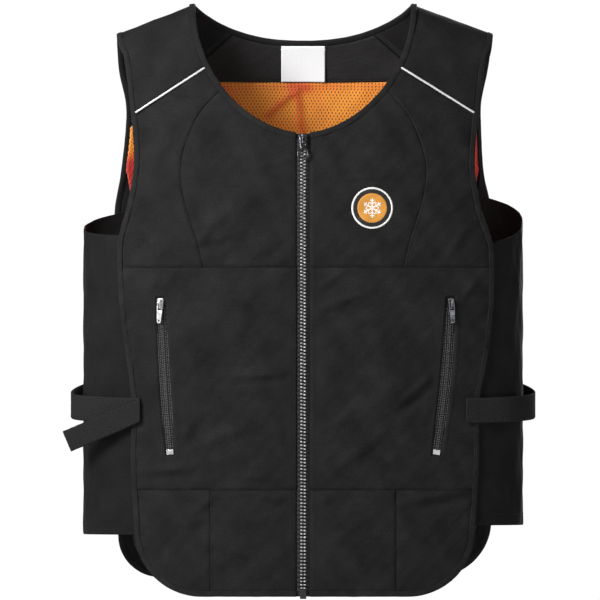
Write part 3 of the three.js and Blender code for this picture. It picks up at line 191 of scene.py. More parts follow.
def bodyPoint(face, x, drop, folded=True):
    x, drop = np.broadcast_arrays(np.asarray(x, float), np.asarray(drop, float))
    reach = np.abs(x)
    tip = np.where(x < 0, body["tip"][-1], body["tip"][1])
    line = body["shoulderDrop"] * np.maximum(0, reach - body["halfNeck"]) / (tip - body["halfNeck"])
    under = np.maximum(0, drop - line)
    rise = np.minimum(under / body["shoulderRound"], 1)
    arch = body["shoulderRound"] * np.sqrt(1 - (1 - rise) ** 2)
    column = depthTable[:, 1 if face == "front" else 2]
    spread = through(depthTable[:, 0], column, under / body["length"]) * body["depth"]
    n = body["ovalness"]
    oval = (1 - np.minimum(reach / body["halfChest"], 1) ** n) ** (1 / n)
    depth = (arch + spread) * oval
    if face == "front" and folded:
        depth = depth + foldHeight(x, drop)
    if face == "back" and folded:
        depth = depth + cloth["backWave"] * unevenness(x * 0.6, drop * 0.7)
    return np.stack([x, -depth if face == "front" else depth, -drop], -1)


def unit(v):
    return v / np.maximum(np.linalg.norm(v, axis=-1, keepdims=True), 1e-9)


# Places and outward directions of a curved surface given by a function of two numbers
def spots(place, u, v, step):
    across = place(u + step, v) - place(u - step, v)
    upward = place(u, v + step) - place(u, v - step)
    at = place(u, v)
    out = unit(np.cross(across, upward))
    away = (at[..., 0] * out[..., 0] * 0.2 + at[..., 1] * out[..., 1]
            + np.maximum(0, at[..., 2] + 60) * out[..., 2])
    return at, np.where(away[..., None] < 0, -out, out)


def bodySpots(face, x, drop, folded=True):
    x, drop = np.asarray(x, float), np.asarray(drop, float)
    return spots(lambda a, b: bodyPoint(face, a, b, folded), x, drop, 0.6)


# Outlines, as lists of reach and drop
def edgeReach(table, side, drop):
    column = table[:, 1 if side < 0 else 2]
    return through(table[:, 0], column, np.asarray(drop, float) / body["length"]) * body["halfChest"]


def edgeLine(table, side, top, low, count):
    drops = np.linspace(top, low, count)
    return np.stack([edgeReach(table, side, drops), drops], -1)


def cornerLine(table, side, length, radius, start, end, count):
    centreReach = edgeReach(table, side, length - radius) - radius
    angle = np.radians(np.linspace(start, end, count))
    return np.stack([centreReach + radius * np.cos(angle), length - radius + radius * np.sin(angle)], -1)


def neckFront(angle):
    a = np.radians(angle)
    reach = body["halfNeck"] * np.cos(a) ** (2 / body["frontPower"])
    return np.stack([reach, body["neckFront"] * np.sin(a)], -1)


def neckFrontAngle(drop):
    return math.degrees(math.asin(min(drop / body["neckFront"], 1)))


def neckReachAngle(reach):
    return math.degrees(math.acos((reach / body["halfNeck"]) ** (body["frontPower"] / 2)))


def neckBackDrop(reach):
    share = (np.abs(reach) / body["halfNeck"]) ** body["backPower"]
    return body["neckBack"] * (1 - np.minimum(share, 1)) ** (1 / body["backFlat"])


def neckBackReach(drop):
    return body["halfNeck"] * (1 - (drop / body["neckBack"]) ** body["backFlat"]) ** (1 / body["backPower"])


def moved(line, width):
    along = np.gradient(line, axis=0)
    along /= np.linalg.norm(along, axis=1, keepdims=True)
    return line + np.stack([along[:, 1], -along[:, 0]], -1) * np.reshape(width, (-1, 1))


def joined(*lines):
    return np.concatenate([lines[0]] + [line[1:] for line in lines[1:]])


def runAlong(line):
    return np.concatenate([[0], np.cumsum(np.linalg.norm(np.diff(line, axis=0), axis=1))])


def evenly(line, shares):
    run = runAlong(line)
    return np.stack([np.interp(shares * run[-1], run, line[:, k]) for k in range(line.shape[1])], -1)


# Shares along a cloth edge, close together where it rolls into the seam at each end
def rolledShares(length, step=None):
    step = step or cloth["step"]
    ends = [d for d in (0, 0.45, 0.95, 1.6, 2.5, 3.8) if d < length / 3]
    middle = np.linspace(ends[-1], length - ends[-1], max(2, round((length - 2 * ends[-1]) / step) + 1))
    return np.concatenate([ends[:-1], middle, [length - d for d in ends[:-1][::-1]]]) / length


# Reach and drop over a patch between four edges, and how far each place is from the border
def patch(low, top, inner, outer, us=None, vs=None):
    width = max(runAlong(low)[-1], runAlong(top)[-1])
    height = max(runAlong(inner)[-1], runAlong(outer)[-1])
    us = rolledShares(width) if us is None else us
    vs = rolledShares(height) if vs is None else vs
    u, v = us[None, :, None], vs[:, None, None]
    lowLine, topLine = evenly(low, us)[None], evenly(top, us)[None]
    innerLine, outerLine = evenly(inner, vs)[:, None], evenly(outer, vs)[:, None]
    ruled = mix(lowLine, topLine, v) + mix(innerLine, outerLine, u)
    corners = mix(mix(low[0], low[-1], u), mix(top[0], top[-1], u), v)
    border = np.minimum(np.minimum(us, 1 - us)[None, :] * width,
                        np.minimum(vs, 1 - vs)[:, None] * height)
    return ruled - corners, border


print("outlines ready")


def toLinear(code):
    channels = [int(code[i:i + 2], 16) / 255 for i in (1, 3, 5)]
    return tuple(c / 12.92 if c <= 0.04045 else ((c + 0.055) / 1.055) ** 2.4 for c in channels) + (1.0,)


# Adds one node, sets it and links its inputs: a pair is a node and the name of its output
def addNode(tree, kind, inputs=None, **settings):
    node = tree.nodes.new(kind)
    for key, value in settings.items():
        setattr(node, key, value)
    for key, value in (inputs or {}).items():
        if isinstance(value, tuple) and len(value) == 2 and hasattr(value[0], "outputs"):
            tree.links.new(value[0].outputs[value[1]], node.inputs[key])
        else:
            node.inputs[key].default_value = value
    return node


def spaced(named):
    return {key.replace("_", " "): value for key, value in named.items()}


def newMaterial(name, rough, colour, **sockets):
    material = bpy.data.materials.new(name)
    material.use_nodes = True
    tree = material.node_tree
    shader = tree.nodes["Principled BSDF"]
    shader.inputs["Base Color"].default_value = toLinear(colour)
    shader.inputs["Roughness"].default_value = rough
    for key, value in spaced(sockets).items():
        shader.inputs[key].default_value = value
    return material, tree, shader


def addRamp(tree, source, *stops):
    ramp = addNode(tree, "ShaderNodeValToRGB", {"Fac": source})
    elements = ramp.color_ramp.elements
    while len(elements) < len(stops):
        elements.new(0.5)
    for element, (place, colour) in zip(elements, stops):
        element.position = place
        element.color = toLinear(colour) if isinstance(colour, str) else (colour,) * 3 + (1.0,)
    return ramp


def addMath(tree, operation, *values):
    return addNode(tree, "ShaderNodeMath", dict(enumerate(values)), operation=operation)


# Where a texture lies: along the cloth's own measure, or fixed to the object
def clothPlace(tree):
    return addNode(tree, "ShaderNodeUVMap", uv_map="cloth"), "UV"


def objectPlace(tree):
    return addNode(tree, "ShaderNodeTexCoord"), "Object"


# Bands with a pitch in millimetres; a wave of scale 1 has 20 of them to the metre
def addWave(tree, place, pitch, direction="X", **inputs):
    given = {"Vector": place, "Scale": 1 / (pitch * mm * 20), **spaced(inputs)}
    return addNode(tree, "ShaderNodeTexWave", given, bands_direction=direction)


# Links a shader's inputs: each is given a node and the name or number of its output
def wire(tree, shader, **sources):
    for key, (node, output) in spaced(sources).items():
        tree.links.new(node.outputs[output], shader.inputs[key])


def addNoise(tree, place, scale, detail, rough=0.5):
    return addNode(tree, "ShaderNodeTexNoise", {
        "Vector": place, "Scale": scale, "Detail": detail, "Roughness": rough})


# A relief from a height, on top of another relief where one is given; the depth is in millimetres
def addBump(tree, height, strength, depth, under=None, **settings):
    inputs = {"Strength": strength, "Distance": depth * mm, "Height": height}
    if under:
        inputs["Normal"] = (under, "Normal")
    return addNode(tree, "ShaderNodeBump", inputs, **settings)


# Polyester and cotton work twill, dyed black: matt, with a slanting rib and a little dust and fuzz
# The rib of about 0.5 mm is too fine to show, so it is drawn 1.3 mm wide
def workTwill(name, dark, light, ribMm, ribDepth, fuzz, rough=0.82):
    material, tree, shader = newMaterial(
        name, rough, dark, Sheen_Weight=fuzz, Sheen_Roughness=0.6, Specular_IOR_Level=0.05)
    place = clothPlace(tree)
    slant = addNode(tree, "ShaderNodeMapping", {"Vector": place, "Rotation": (0, 0, math.radians(58))})
    rib = addWave(tree, (slant, "Vector"), ribMm, Distortion=0.7, Detail=2.0, Detail_Scale=4.0)
    grain = addNoise(tree, place, 620.0, 3.0)
    patches = addNoise(tree, place, 22.0, 5.0, 0.62)
    shade = addRamp(tree, (patches, "Fac"), (0.32, dark), (0.72, light))
    speckle = addRamp(tree, (grain, "Fac"), (0.32, 0.5), (0.7, 1.0))
    colour = addNode(tree, "ShaderNodeMix", {"Factor": 1.0, 6: (shade, "Color"), 7: (speckle, "Color")},
                     data_type="RGBA", blend_type="MULTIPLY")
    weave = addBump(tree, (rib, "Fac"), 0.5, ribDepth)
    fluff = addBump(tree, (grain, "Fac"), 0.5, 0.25, weave)
    wire(tree, shader, Base_Color=(colour, 2), Normal=(fluff, "Normal"))
    return material


# Orange warp-knitted mesh: rows of small round holes, darker where the black cloth shows through. The warm
# and darkest reddish shades are painted shade in the folds and far inside; warm is also reached by the mesh's
# random tone
meshLook = {"pitch": 4.2, "orange": "#E8963A", "warm": "#D8682C", "deep": "#B8322C", "hole": "#3A1A0A",
            "band": "#1C1C1C", "bandDrop": 604}


def knittedMesh():
    material, tree, shader = newMaterial("warpKnittedMesh", 0.62, meshLook["orange"],
                                         Sheen_Weight=0.2, Sheen_Roughness=0.4, Specular_IOR_Level=0.3)
    place = clothPlace(tree)
    parts = addNode(tree, "ShaderNodeSeparateXYZ", {"Vector": place})
    turns = 2 * math.pi / (meshLook["pitch"] * mm)
    waves = []
    for x, y in ((1, 0.577), (1, -0.577)):  # two crossing rows of ridges leave a hole at each crossing
        alongX = addMath(tree, "MULTIPLY", (parts, "X"), turns * x)
        both = addMath(tree, "MULTIPLY_ADD", (parts, "Y"), turns * y, (alongX, "Value"))
        waves.append((addMath(tree, "COSINE", (both, "Value")), "Value"))
    cross = addMath(tree, "ADD", *waves)
    halved = addMath(tree, "MULTIPLY", (cross, "Value"), 0.5)
    holes = addRamp(tree, (halved, "Value"), (0.0, 0.0), (0.5, 0.0), (0.76, 1.0))
    tint = addNode(tree, "ShaderNodeAttribute", attribute_name="redness")
    soft = addNoise(tree, place, 30.0, 4.0)
    lifted = addMath(tree, "MULTIPLY_ADD", (soft, "Fac"), 0.25, (tint, "Fac"))
    ground = addRamp(tree, (lifted, "Value"), (0.11, meshLook["orange"]), (0.31, meshLook["warm"]),
                     (0.5, meshLook["deep"]), (0.74, meshLook["deep"]), (0.75, meshLook["band"]))
    colour = addNode(tree, "ShaderNodeMix", {"Factor": (holes, "Color"), 6: (ground, "Color"),
                                             7: toLinear(meshLook["hole"])}, data_type="RGBA")
    pits = addBump(tree, (holes, "Color"), 0.8, 0.5, invert=True)
    wire(tree, shader, Base_Color=(colour, 2), Normal=(pits, "Normal"))
    return material


# Cotton webbing woven across its width and brushed: coarse ribs and a matt fluffy face
def brushedWebbing():
    material, tree, shader = newMaterial("brushedWebbing", 0.95, "#1B1B1B", Specular_IOR_Level=0.04)
    place = clothPlace(tree)
    rib = addWave(tree, place, 1.7, Distortion=1.5, Detail=2.0)
    fluff = addNoise(tree, place, 760.0, 4.0, 0.7)
    shade = addRamp(tree, (fluff, "Fac"), (0.34, "#101010"), (0.68, "#333333"))
    ribs = addBump(tree, (rib, "Fac"), 0.3, 0.4)
    fuzz = addBump(tree, (fluff, "Fac"), 0.8, 0.5, ribs)
    wire(tree, shader, Base_Color=(shade, "Color"), Normal=(fuzz, "Normal"))
    return material


# A finish of two near shades in a fine grain, and where asked a relief as strength and depth in mm
def grained(name, rough, dark, light, scale, detail=2.0, relief=None, onCloth=False, **sockets):
    material, tree, shader = newMaterial(name, rough, dark, **sockets)
    grain = addNoise(tree, clothPlace(tree) if onCloth else objectPlace(tree), scale, detail)
    shade = addRamp(tree, (grain, "Fac"), (0.3, dark), (0.7, light))
    wire(tree, shader, Base_Color=(shade, "Color"))
    if relief:
        wire(tree, shader, Normal=(addBump(tree, (grain, "Fac"), *relief), "Normal"))
    return material


# Spun polyester thread: two plies, matt with a soft highlight
def spunThread(name, dark, light):
    return grained(name, 0.7, dark, light, 1800.0, 1.0, Sheen_Weight=0.05, Specular_IOR_Level=0.15)


# Moulded acetal and nylon: smooth plastic with a slight sheen
def mouldedPlastic(name, dark, light):
    return grained(name, 0.42, dark, light, 900.0, Specular_IOR_Level=0.45)


# Heat-pressed vinyl: smooth, faintly following the cloth under it
def pressedVinyl(name, colour):
    return grained(name, 0.5, colour, colour, 700.0, relief=(0.3, 0.15), Specular_IOR_Level=0.4)


# Die-cast zinc with a dark plating, tumbled smooth, with the plating worn paler in patches
def platedZinc(name, dark, light, rough):
    material, tree, shader = newMaterial(name, rough, dark, Metallic=1.0)
    wear = addNoise(tree, objectPlace(tree), 260.0, 4.0)
    shade = addRamp(tree, (wear, "Fac"), (0.35, dark), (0.68, light))
    dull = addRamp(tree, (wear, "Fac"), (0.3, rough * 0.8), (0.7, min(1.0, rough * 1.35)))
    wire(tree, shader, Base_Color=(shade, "Color"), Roughness=(dull, "Color"))
    return material


# Woven polyester zip tape: a fine rib along the tape, slightly shiny
def zipTapeWeave():
    material, tree, shader = newMaterial("zipTapeWeave", 0.7, "#121212", Sheen_Weight=0.05,
                                         Specular_IOR_Level=0.15)
    place = clothPlace(tree)
    rib, thread = addWave(tree, place, 1.1), addWave(tree, place, 0.9, "Y")
    both = addMath(tree, "MULTIPLY", (rib, "Fac"), (thread, "Fac"))
    shade = addRamp(tree, (both, "Value"), (0.1, "#161616"), (0.9, "#333334"))
    weave = addBump(tree, (both, "Value"), 0.6, 0.25)
    wire(tree, shader, Base_Color=(shade, "Color"), Normal=(weave, "Normal"))
    return material


shellTwill = workTwill("blackWorkTwill", "#1F1F1F", "#2C2C2C", 1.3, 0.16, 0.006)
innerTwill = workTwill("blackInnerTwill", "#2A2A2A", "#363636", 1.3, 0.14, 0.006)
stretchKnit = workTwill("blackStretchKnit", "#1B1B1B", "#252525", 1.0, 0.1, 0.004, rough=0.75)
bindingTape = workTwill("blackBindingTape", "#222222", "#2E2E2E", 0.9, 0.14, 0.006)
meshKnit = knittedMesh()
webbing = brushedWebbing()
# Glass-bead reflective film on a cord: pale grey, satin, finely grained
piping = grained("reflectiveFilm", 0.38, "#AFB0B2", "#E4E5E6", 1400.0, relief=(0.3, 0.1),
                 Specular_IOR_Level=0.6)
gunmetal = platedZinc("gunmetalZinc", "#3F4144", "#8E9093", 0.24)
# A paler copy of the same plated metal for the left pocket's slider and pull: painted light, as they catch
# more reflection than the right pocket's
litPullMetal = platedZinc("litNickelPull", "#A4A6A8", "#DCDDDE", 0.36)
toothMetal = platedZinc("antiqueNickelTeeth", "#A6A8AA", "#ECEDEE", 0.46)
stopMetal = platedZinc("nickelStop", "#B4B5B7", "#D9DADC", 0.3)
zipWeave = zipTapeWeave()
coilNylon = mouldedPlastic("greyNylonCoil", "#3F4042", "#636467")
boxAcetal = mouldedPlastic("blackAcetal", "#141414", "#222223")
# Polyester satin label: fine crosswise floats, soft sheen, off-white
whiteSatin = grained("whiteSatinLabel", 0.55, "#E6E9EB", "#F2F5F7", 700.0, relief=(0.2, 0.1), onCloth=True,
                     Sheen_Weight=0.1, Specular_IOR_Level=0.4)
whiteVinyl = pressedVinyl("whiteVinyl", "#E2E2E0")
orangeVinyl = pressedVinyl("orangeVinyl", "#C98A35")
blackVinyl = pressedVinyl("blackVinyl", "#191919")
blackThread = spunThread("blackThread", "#0B0B0B", "#191919")
greyThread = spunThread("greyThread", "#565759", "#7E7F81")
whiteThread = spunThread("whiteThread", "#DCDCDA", "#F2F2F0")
print("materials ready")


def makePiece(name, points, faces, material, uvs=None, smooth=True, redness=None):
    mesh = bpy.data.meshes.new(name)
    mesh.from_pydata((np.asarray(points) * mm).tolist(), [], faces)
    if uvs is not None:
        layer = mesh.uv_layers.new(name="cloth")
        corners = np.empty(len(mesh.loops), dtype=np.int32)
        mesh.loops.foreach_get("vertex_index", corners)
        layer.data.foreach_set("uv", (np.asarray(uvs)[corners] * mm).astype(np.float32).ravel())
    if redness is not None:
        attribute = mesh.attributes.new("redness", "FLOAT", "POINT")
        attribute.data.foreach_set("value", np.asarray(redness, np.float32))
    if material:
        mesh.materials.append(material)
    mesh.polygons.foreach_set("use_smooth", [smooth] * len(mesh.polygons))
    mesh.update()
    piece = bpy.data.objects.new(name, mesh)
    scene.collection.objects.link(piece)
    return piece


def ownBy(piece, nodes=(), rider="vest"):
    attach(piece, rider)
    if nodes:
        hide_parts(*nodes)
    return piece


# A closed wall of cloth between an upper and a lower grid of points; cells may be left out
def clothPiece(name, upper, lower, material, keep=None, redness=None):
    rows, columns = upper.shape[:2]
    keep = np.ones((rows - 1, columns - 1), bool) if keep is None else keep
    count = rows * columns
    index = np.arange(count).reshape(rows, columns)
    cell = np.stack([index[:-1, :-1], index[:-1, 1:], index[1:, 1:], index[1:, :-1]], -1)[keep]
    edges = {}
    for a, b, c, d in cell.tolist():
        for edge in ((a, b), (b, c), (c, d), (d, a)):
            if edge[::-1] in edges:
                del edges[edge[::-1]]
            else:
                edges[edge] = True
    faces = cell.tolist() + (cell[:, ::-1] + count).tolist()
    faces += [[b, a, a + count, b + count] for a, b in edges]
    points = np.concatenate([upper.reshape(-1, 3), lower.reshape(-1, 3)])
    used = np.zeros(2 * count, bool)
    used[np.unique(np.concatenate([cell.ravel(), cell.ravel() + count]))] = True
    renumber = np.cumsum(used) - 1
    faces = [[int(renumber[i]) for i in face] for face in faces]
    across = np.cumsum(np.linalg.norm(np.diff(upper, axis=1, prepend=upper[:, :1]), axis=2), axis=1)
    along = np.cumsum(np.linalg.norm(np.diff(upper, axis=0, prepend=upper[:1]), axis=2), axis=0)
    uvs = np.tile(np.stack([across, along], -1).reshape(-1, 2), (2, 1))[used]
    tint = None if redness is None else np.tile(redness.ravel(), 2)[used]
    middle = cell[len(cell) // 2]
    normal = np.cross(points[middle[2]] - points[middle[0]], points[middle[3]] - points[middle[1]])
    if np.dot(normal, points[middle[0]] - points[middle[0] + count]) < 0:
        faces = [face[::-1] for face in faces]
    return makePiece(name, points[used], faces, material, uvs, redness=tint)


# Its name ends as its slot does
def sewSheet(node, slot, material, upper, lower, keep=None, redness=None):
    piece = clothPiece(node + slot[slot.index("_"):], upper, lower, material, keep, redness)
    ownBy(piece, [node])


# A sheet of the shell: its outer face stands above the body's surface by the height
def sewShell(node, at, out, height, keep=None):
    upper, lower = at + out * height[..., None], at - out * cloth["thickness"]
    sewSheet(node, "shell_cloth", shellTwill, upper, lower, keep)


# The height of the cloth near a seam: it rolls under, lies flat at the topstitch and puckers
def seamHeight(border, at, pucker=cloth["pucker"]):
    roll = -cloth["rollDepth"] * bell(border, cloth["rollWidth"])
    groove = -cloth["stitchSink"] * bell(border - cloth["stitchAt"], 0.7)
    run = at[..., 0] * 0.8 + at[..., 2]
    gathers = np.sin(run / 2.9) * np.sin(run / 7.7 + 1.1) + 0.5 * np.sin(run / 4.7 + at[..., 0] / 11)
    return roll + groove + pucker * gathers * np.exp(-border / 7) * (1 - bell(border, 1.5))


# The fronts roll under along the zip as well
def zipRoll(reach):
    return -cloth["zipRoll"] * bell(reach - seams["zipEdge"], cloth["zipRollWidth"])


def line2(a, b, count=40):
    return np.linspace(a, b, count)


# Pieces of the front: everything is worked out once from each side's outline
stitchLines, coilStitches = [], []
sideNames = {-1: "left", 1: "right"}


def frontOutline(side):
    def corner(a, b):
        return cornerLine(frontEdgeTable, side, body["length"], seams["corner"], a, b, 24)

    cornerTop = body["length"] - seams["corner"]
    start = corner(90, 45)
    return {
        "hemCentre": line2((seams["zipEdge"], body["length"]), (seams["hemSplit"], body["length"])),
        "hemSide": joined(line2((seams["hemSplit"], body["length"]), start[0], 8), start),
        "hemOuter": joined(corner(45, 0), edgeLine(frontEdgeTable, side, cornerTop, seams["hem"], 16)),
        "waist": edgeLine(frontEdgeTable, side, seams["hem"], seams["chest"], 60),
        "chest": edgeLine(frontEdgeTable, side, seams["chest"], seams["yokeFrontArm"], 50),
    }


# The seam between a chest panel's two parts, from its low end up
def princessLine(count):
    down = np.linspace(1, princessTable[0, 0], count)
    reach = through(princessTable[:, 0], princessTable[:, 1], down) * body["halfChest"]
    return np.stack([reach, down * seams["chest"]], -1)


def frontNeckline():
    start = neckReachAngle(seams["zipEdge"])
    meet = neckFrontAngle(princessTable[0, 0] * seams["chest"])
    end = neckFrontAngle(seams["yokeFrontNeck"])
    return neckFront(np.linspace(start, meet, 50)), neckFront(np.linspace(meet, end, 20))


def insetPieces(lines, width):
    whole = joined(*lines)
    shifted = moved(whole, width)
    parts, start = [], 0
    for line in lines:
        parts.append(shifted[start:start + len(line)])
        start += len(line) - 1
    return parts


def frontPanels(side):
    label = sideNames[side]
    outline = frontOutline(side)
    keys = ["hemCentre", "hemSide", "hemOuter", "waist", "chest"]
    hemCentreLow, hemSideLow, hemOuter, waistOuter, chestOuter = insetPieces(
        [outline[k] for k in keys], cloth["edgeRoom"])
    neckCentre, neckSide = insetPieces(frontNeckline(), -cloth["edgeRoom"])
    gap, zipEdge = seams["halfGap"], seams["zipEdge"]
    hemTop, waistLow, waistTop, chestLow = (
        seams["hem"] + gap, seams["hem"] - gap, seams["chest"] + gap, seams["chest"] - gap)
    hemCentreLow[0, 0] = neckCentre[0, 0] = zipEdge

    def make(name, low, top, inner, outer):
        grid, border = patch(low, top, inner, outer)
        at, out = bodySpots("front", side * grid[..., 0], grid[..., 1])
        height = seamHeight(border, at) + zipRoll(grid[..., 0])
        sewShell(f"{name}_{label}", at, out, height)

    split = seams["hemSplit"]
    hemEnd = hemCentreLow[-1] - (gap, 0)
    make("front_hem_centre", line2(hemCentreLow[0], hemEnd), line2((zipEdge, hemTop), (split - gap, hemTop)),
         line2(hemCentreLow[0], (zipEdge, hemTop)), line2(hemEnd, (split - gap, hemTop)))
    sideLow = hemSideLow + np.array([(gap, 0)]) * np.linspace(1, 0, len(hemSideLow))[:, None]
    outerTop = hemOuter.copy()
    outerTop[-1, 1] = hemTop
    make("front_hem_side", sideLow, line2((split + gap, hemTop), outerTop[-1]),
         line2(sideLow[0], (split + gap, hemTop)), outerTop)

    princess = princessLine(60)
    princess[0, 1] = chestLow
    princess = princess[princess[:, 1] > neckCentre[-1, 1] + 0.4]
    princess = np.concatenate([princess, neckCentre[-1:]])
    inner, outer = princess - (gap, 0), princess + (gap, 0)
    inner[-1] += (0, gap)
    make("front_chest_centre", line2((zipEdge, chestLow), inner[0]),
         np.concatenate([neckCentre[:-1], inner[-1:]]), line2((zipEdge, chestLow), neckCentre[0]), inner)
    sideInner = np.concatenate([outer, neckSide[1:] + (0, 0.4)])
    sideOuter = chestOuter.copy()
    sideOuter[0, 1] = chestLow
    sideOuter[-1, 1] += 0.4
    make("front_chest_side", line2(sideInner[0], sideOuter[0]), line2(sideInner[-1], sideOuter[-1]),
         sideInner, sideOuter)
    waistPanel(side, waistOuter, waistLow, waistTop)

    # Topstitching follows the seams on the side that the cloth is turned to
    def sew(line):
        at, out = bodySpots("front", side * line[:, 0], line[:, 1])
        stitchLines.append((at + out * 0.05, out))

    beside, zipSide, foot = 2.4, zipEdge + 5.5, body["length"] - 8
    sew(moved(princess, -beside))
    sew(line2((zipSide, foot), (zipSide, body["neckFront"] + 9), 80))
    for drop, end in ((seams["chest"] - beside, chestOuter[0, 0]), (seams["hem"] - beside, waistOuter[0, 0])):
        sew(line2((zipEdge + 1, drop), (end, drop), 60))
    sew(line2((split - beside, foot), (split - beside, seams["hem"] + 1), 30))


# Half the width of a pocket's slot, which gapes half way down
def slotHalf(drop):
    share = np.clip((drop - pocket["top"]) / pocket["length"], 0, 1)
    return (pocket["slot"] + pocket["gape"] * np.sin(math.pi * share)) / 2


# Around the slot the cloth turns in, stands up as a lip and is stitched down: rise, distance, width
slotRelief = [(-0.9, 0, 1.2), (0.5, 3, 1.8), (-0.35, 5.2, 0.8)]


# The waist panel has a slot for the pocket's zip, so its grid follows the slot's two sides
def waistPanel(side, outer, lowDrop, topDrop):
    label = sideNames[side]
    ends = [topDrop, pocket["top"], pocket["top"] + pocket["length"], lowDrop]
    spans = [rolledShares(b - a) * (b - a) + a for a, b in zip(ends, ends[1:])]
    drops = np.concatenate([spans[0], spans[1][1:], spans[2][1:]])[::-1]
    middle, half = pocketReach(side, drops), slotHalf(drops)
    nearSide, farSide = (middle - half)[:, None], (middle + half)[:, None]
    limit = np.interp(drops, outer[::-1, 1], outer[::-1, 0])
    inShares = rolledShares(pocket["lowReach"] - pocket["slot"] / 2 - seams["zipEdge"])
    outShares = rolledShares(40, 2.5)
    slotShares = np.linspace(0, 1, 5)
    columns = np.concatenate([
        mix(seams["zipEdge"], nearSide, inShares[None]),
        mix(nearSide, farSide, slotShares[None])[:, 1:],
        mix(farSide, limit[:, None], outShares[None])[:, 1:],
    ], axis=1)
    grid = np.stack([columns, np.broadcast_to(drops[:, None], columns.shape)], -1)
    at, out = bodySpots("front", side * grid[..., 0], grid[..., 1])
    slotFrom = len(inShares) - 1
    slotTo = slotFrom + len(slotShares) - 1
    pocketEnd = pocket["top"] + pocket["length"]
    centres = (drops[1:] + drops[:-1]) / 2
    isOpen = (centres > pocket["top"]) & (centres < pocketEnd)
    keep = np.ones((len(drops) - 1, columns.shape[1] - 1), bool)
    keep[np.ix_(isOpen, range(slotFrom, slotTo))] = False
    beside = np.maximum(np.abs(columns - middle[:, None]) - half[:, None], 0)
    slotDistance = np.hypot(beside, beyond(drops, pocket["top"], pocketEnd)[:, None])
    seamDistance = np.minimum(np.minimum(drops - topDrop, lowDrop - drops)[:, None],
                              limit[:, None] - columns + 3)
    height = seamHeight(seamDistance, at) + zipRoll(columns)
    height += sum(rise * bell(slotDistance - away, width) for rise, away, width in slotRelief)
    sewShell(f"front_waist_{label}", at, out, height, keep)
    room = slotRelief[-1][1]
    top, low = pocket["top"] - room, pocketEnd + room
    corners = [(-1, top), (1, top), (1, low), (-1, low), (-1, top)]
    for (x0, d0), (x1, d1) in zip(corners, corners[1:]):
        drop = np.linspace(d0, d1, 60)
        x = pocketReach(side, drop) + np.linspace(x0, x1, 60) * (slotHalf(drop) + room)
        at, out = bodySpots("front", side * x, drop)
        stitchLines.append((at, out))


for side in (-1, 1):
    frontPanels(side)
print("fronts sewn")


# Yokes: over runs from -1 at the front seam over the shoulder to 1 at the back, out from neck to arm
def yokePlace(side, over, out):
    share = over * over
    front = over < 0
    frontNeckDrop = np.minimum(share * seams["yokeFrontNeck"], body["neckFront"])
    downNeck = frontNeckDrop / body["neckFront"]
    frontNeckReach = body["halfNeck"] * (1 - downNeck ** 2) ** (1 / body["frontPower"])
    backNeckDrop = share * neckBackDrop(seams["yokeBackNeck"])
    neckDrop = np.where(front, frontNeckDrop, backNeckDrop)
    neckReach = np.where(front, frontNeckReach, neckBackReach(backNeckDrop))
    armDrop = mix(body["shoulderDrop"], np.where(front, seams["yokeFrontArm"], seams["yokeBackArm"]), share)
    edge = np.where(front, edgeReach(frontEdgeTable, side, armDrop), edgeReach(backEdgeTable, side, armDrop))
    armReach = mix(body["tip"][side], edge, np.minimum(share * 4, 1))
    return mix(neckReach, armReach, out), mix(neckDrop, armDrop, out)


def yokePoint(side, over, out):
    reach, drop = yokePlace(side, over, out)
    front = bodyPoint("front", side * reach, drop, False)
    back = bodyPoint("back", side * reach, drop, False)
    return np.where((over < 0)[..., None], front, back)


def yokeSpots(side, over, out):
    over, out = np.broadcast_arrays(np.asarray(over, float), np.asarray(out, float))
    return spots(lambda a, b: yokePoint(side, a, b), over, out, 0.006)


def yokeShare(side, over, end, width):
    over = np.asarray(over, float)
    ends = np.full_like(over, end)
    edge = yokePoint(side, over + 0.01, ends) - yokePoint(side, over - 0.01, ends)
    span = yokePoint(side, over, np.ones_like(over)) - yokePoint(side, over, np.zeros_like(over))
    return width / np.linalg.norm(np.cross(span, unit(edge)), axis=-1)


# Places along a yoke's seam, between what the edges' bindings and rooms take up at each end
def yokeSeam(side, over, room, count):
    neckEnd = yokeShare(side, np.array([over]), 0, room)[0]
    armEnd = 1 - yokeShare(side, np.array([over]), 1, room)[0]
    return np.linspace(neckEnd, armEnd, count)


# Length over the shoulder, how rows crowd at the top and reach the seams, where the stitches run
yokeLook = {"length": 150, "crowd": 0.92, "cover": 0.9975, "ends": [-0.995, -0.988, 0.988, 0.995],
            "stitches": (-0.972, 0.978), "stitchRoom": 6}


def yokes():
    for side in (-1, 1):
        label = sideNames[side]
        evenOvers = np.linspace(-1, 1, 90)
        overs = np.sign(evenOvers) * np.abs(evenOvers) ** yokeLook["crowd"]
        overs = np.unique(np.concatenate([overs, yokeLook["ends"]])) * yokeLook["cover"]
        room = cloth["edgeRoom"]
        first, last = yokeShare(side, overs, 0, room), 1 - yokeShare(side, overs, 1, room)
        shares = np.linspace(0, 1, 34)
        outs = mix(first[:, None], last[:, None], shares[None])
        at, out = yokeSpots(side, np.broadcast_to(overs[:, None], outs.shape), outs)
        border = (1 - np.abs(overs))[:, None] * yokeLook["length"] + np.zeros_like(outs) + 0.2
        waves = 0.5 * unevenness(at[..., 0] + 40, at[..., 1] * 1.5 + at[..., 2])
        sewShell(f"yoke_{label}", at, out, seamHeight(border, at, pucker=0.2) + waves)
        for over in yokeLook["stitches"]:
            places = yokeSeam(side, over, yokeLook["stitchRoom"], 60)
            row, normal = yokeSpots(side, np.full(60, over), places)
            stitchLines.append((row + normal * 0.1, normal))


yokes()
print("yokes sewn")


# The back, from its left outline to its right one. Reaches carry a sign there
def backSide(side):
    length = body["length"] - body["backHemRise"]
    radius = seams["backCorner"][side]
    cornerTop = length - radius
    edge = edgeLine(backEdgeTable, side, seams["yokeBackArm"], cornerTop, 160)
    corner = cornerLine(backEdgeTable, side, length, radius, 0, 90, 60)
    hem = line2(corner[-1], (0, length), 40)
    return edge, corner, hem


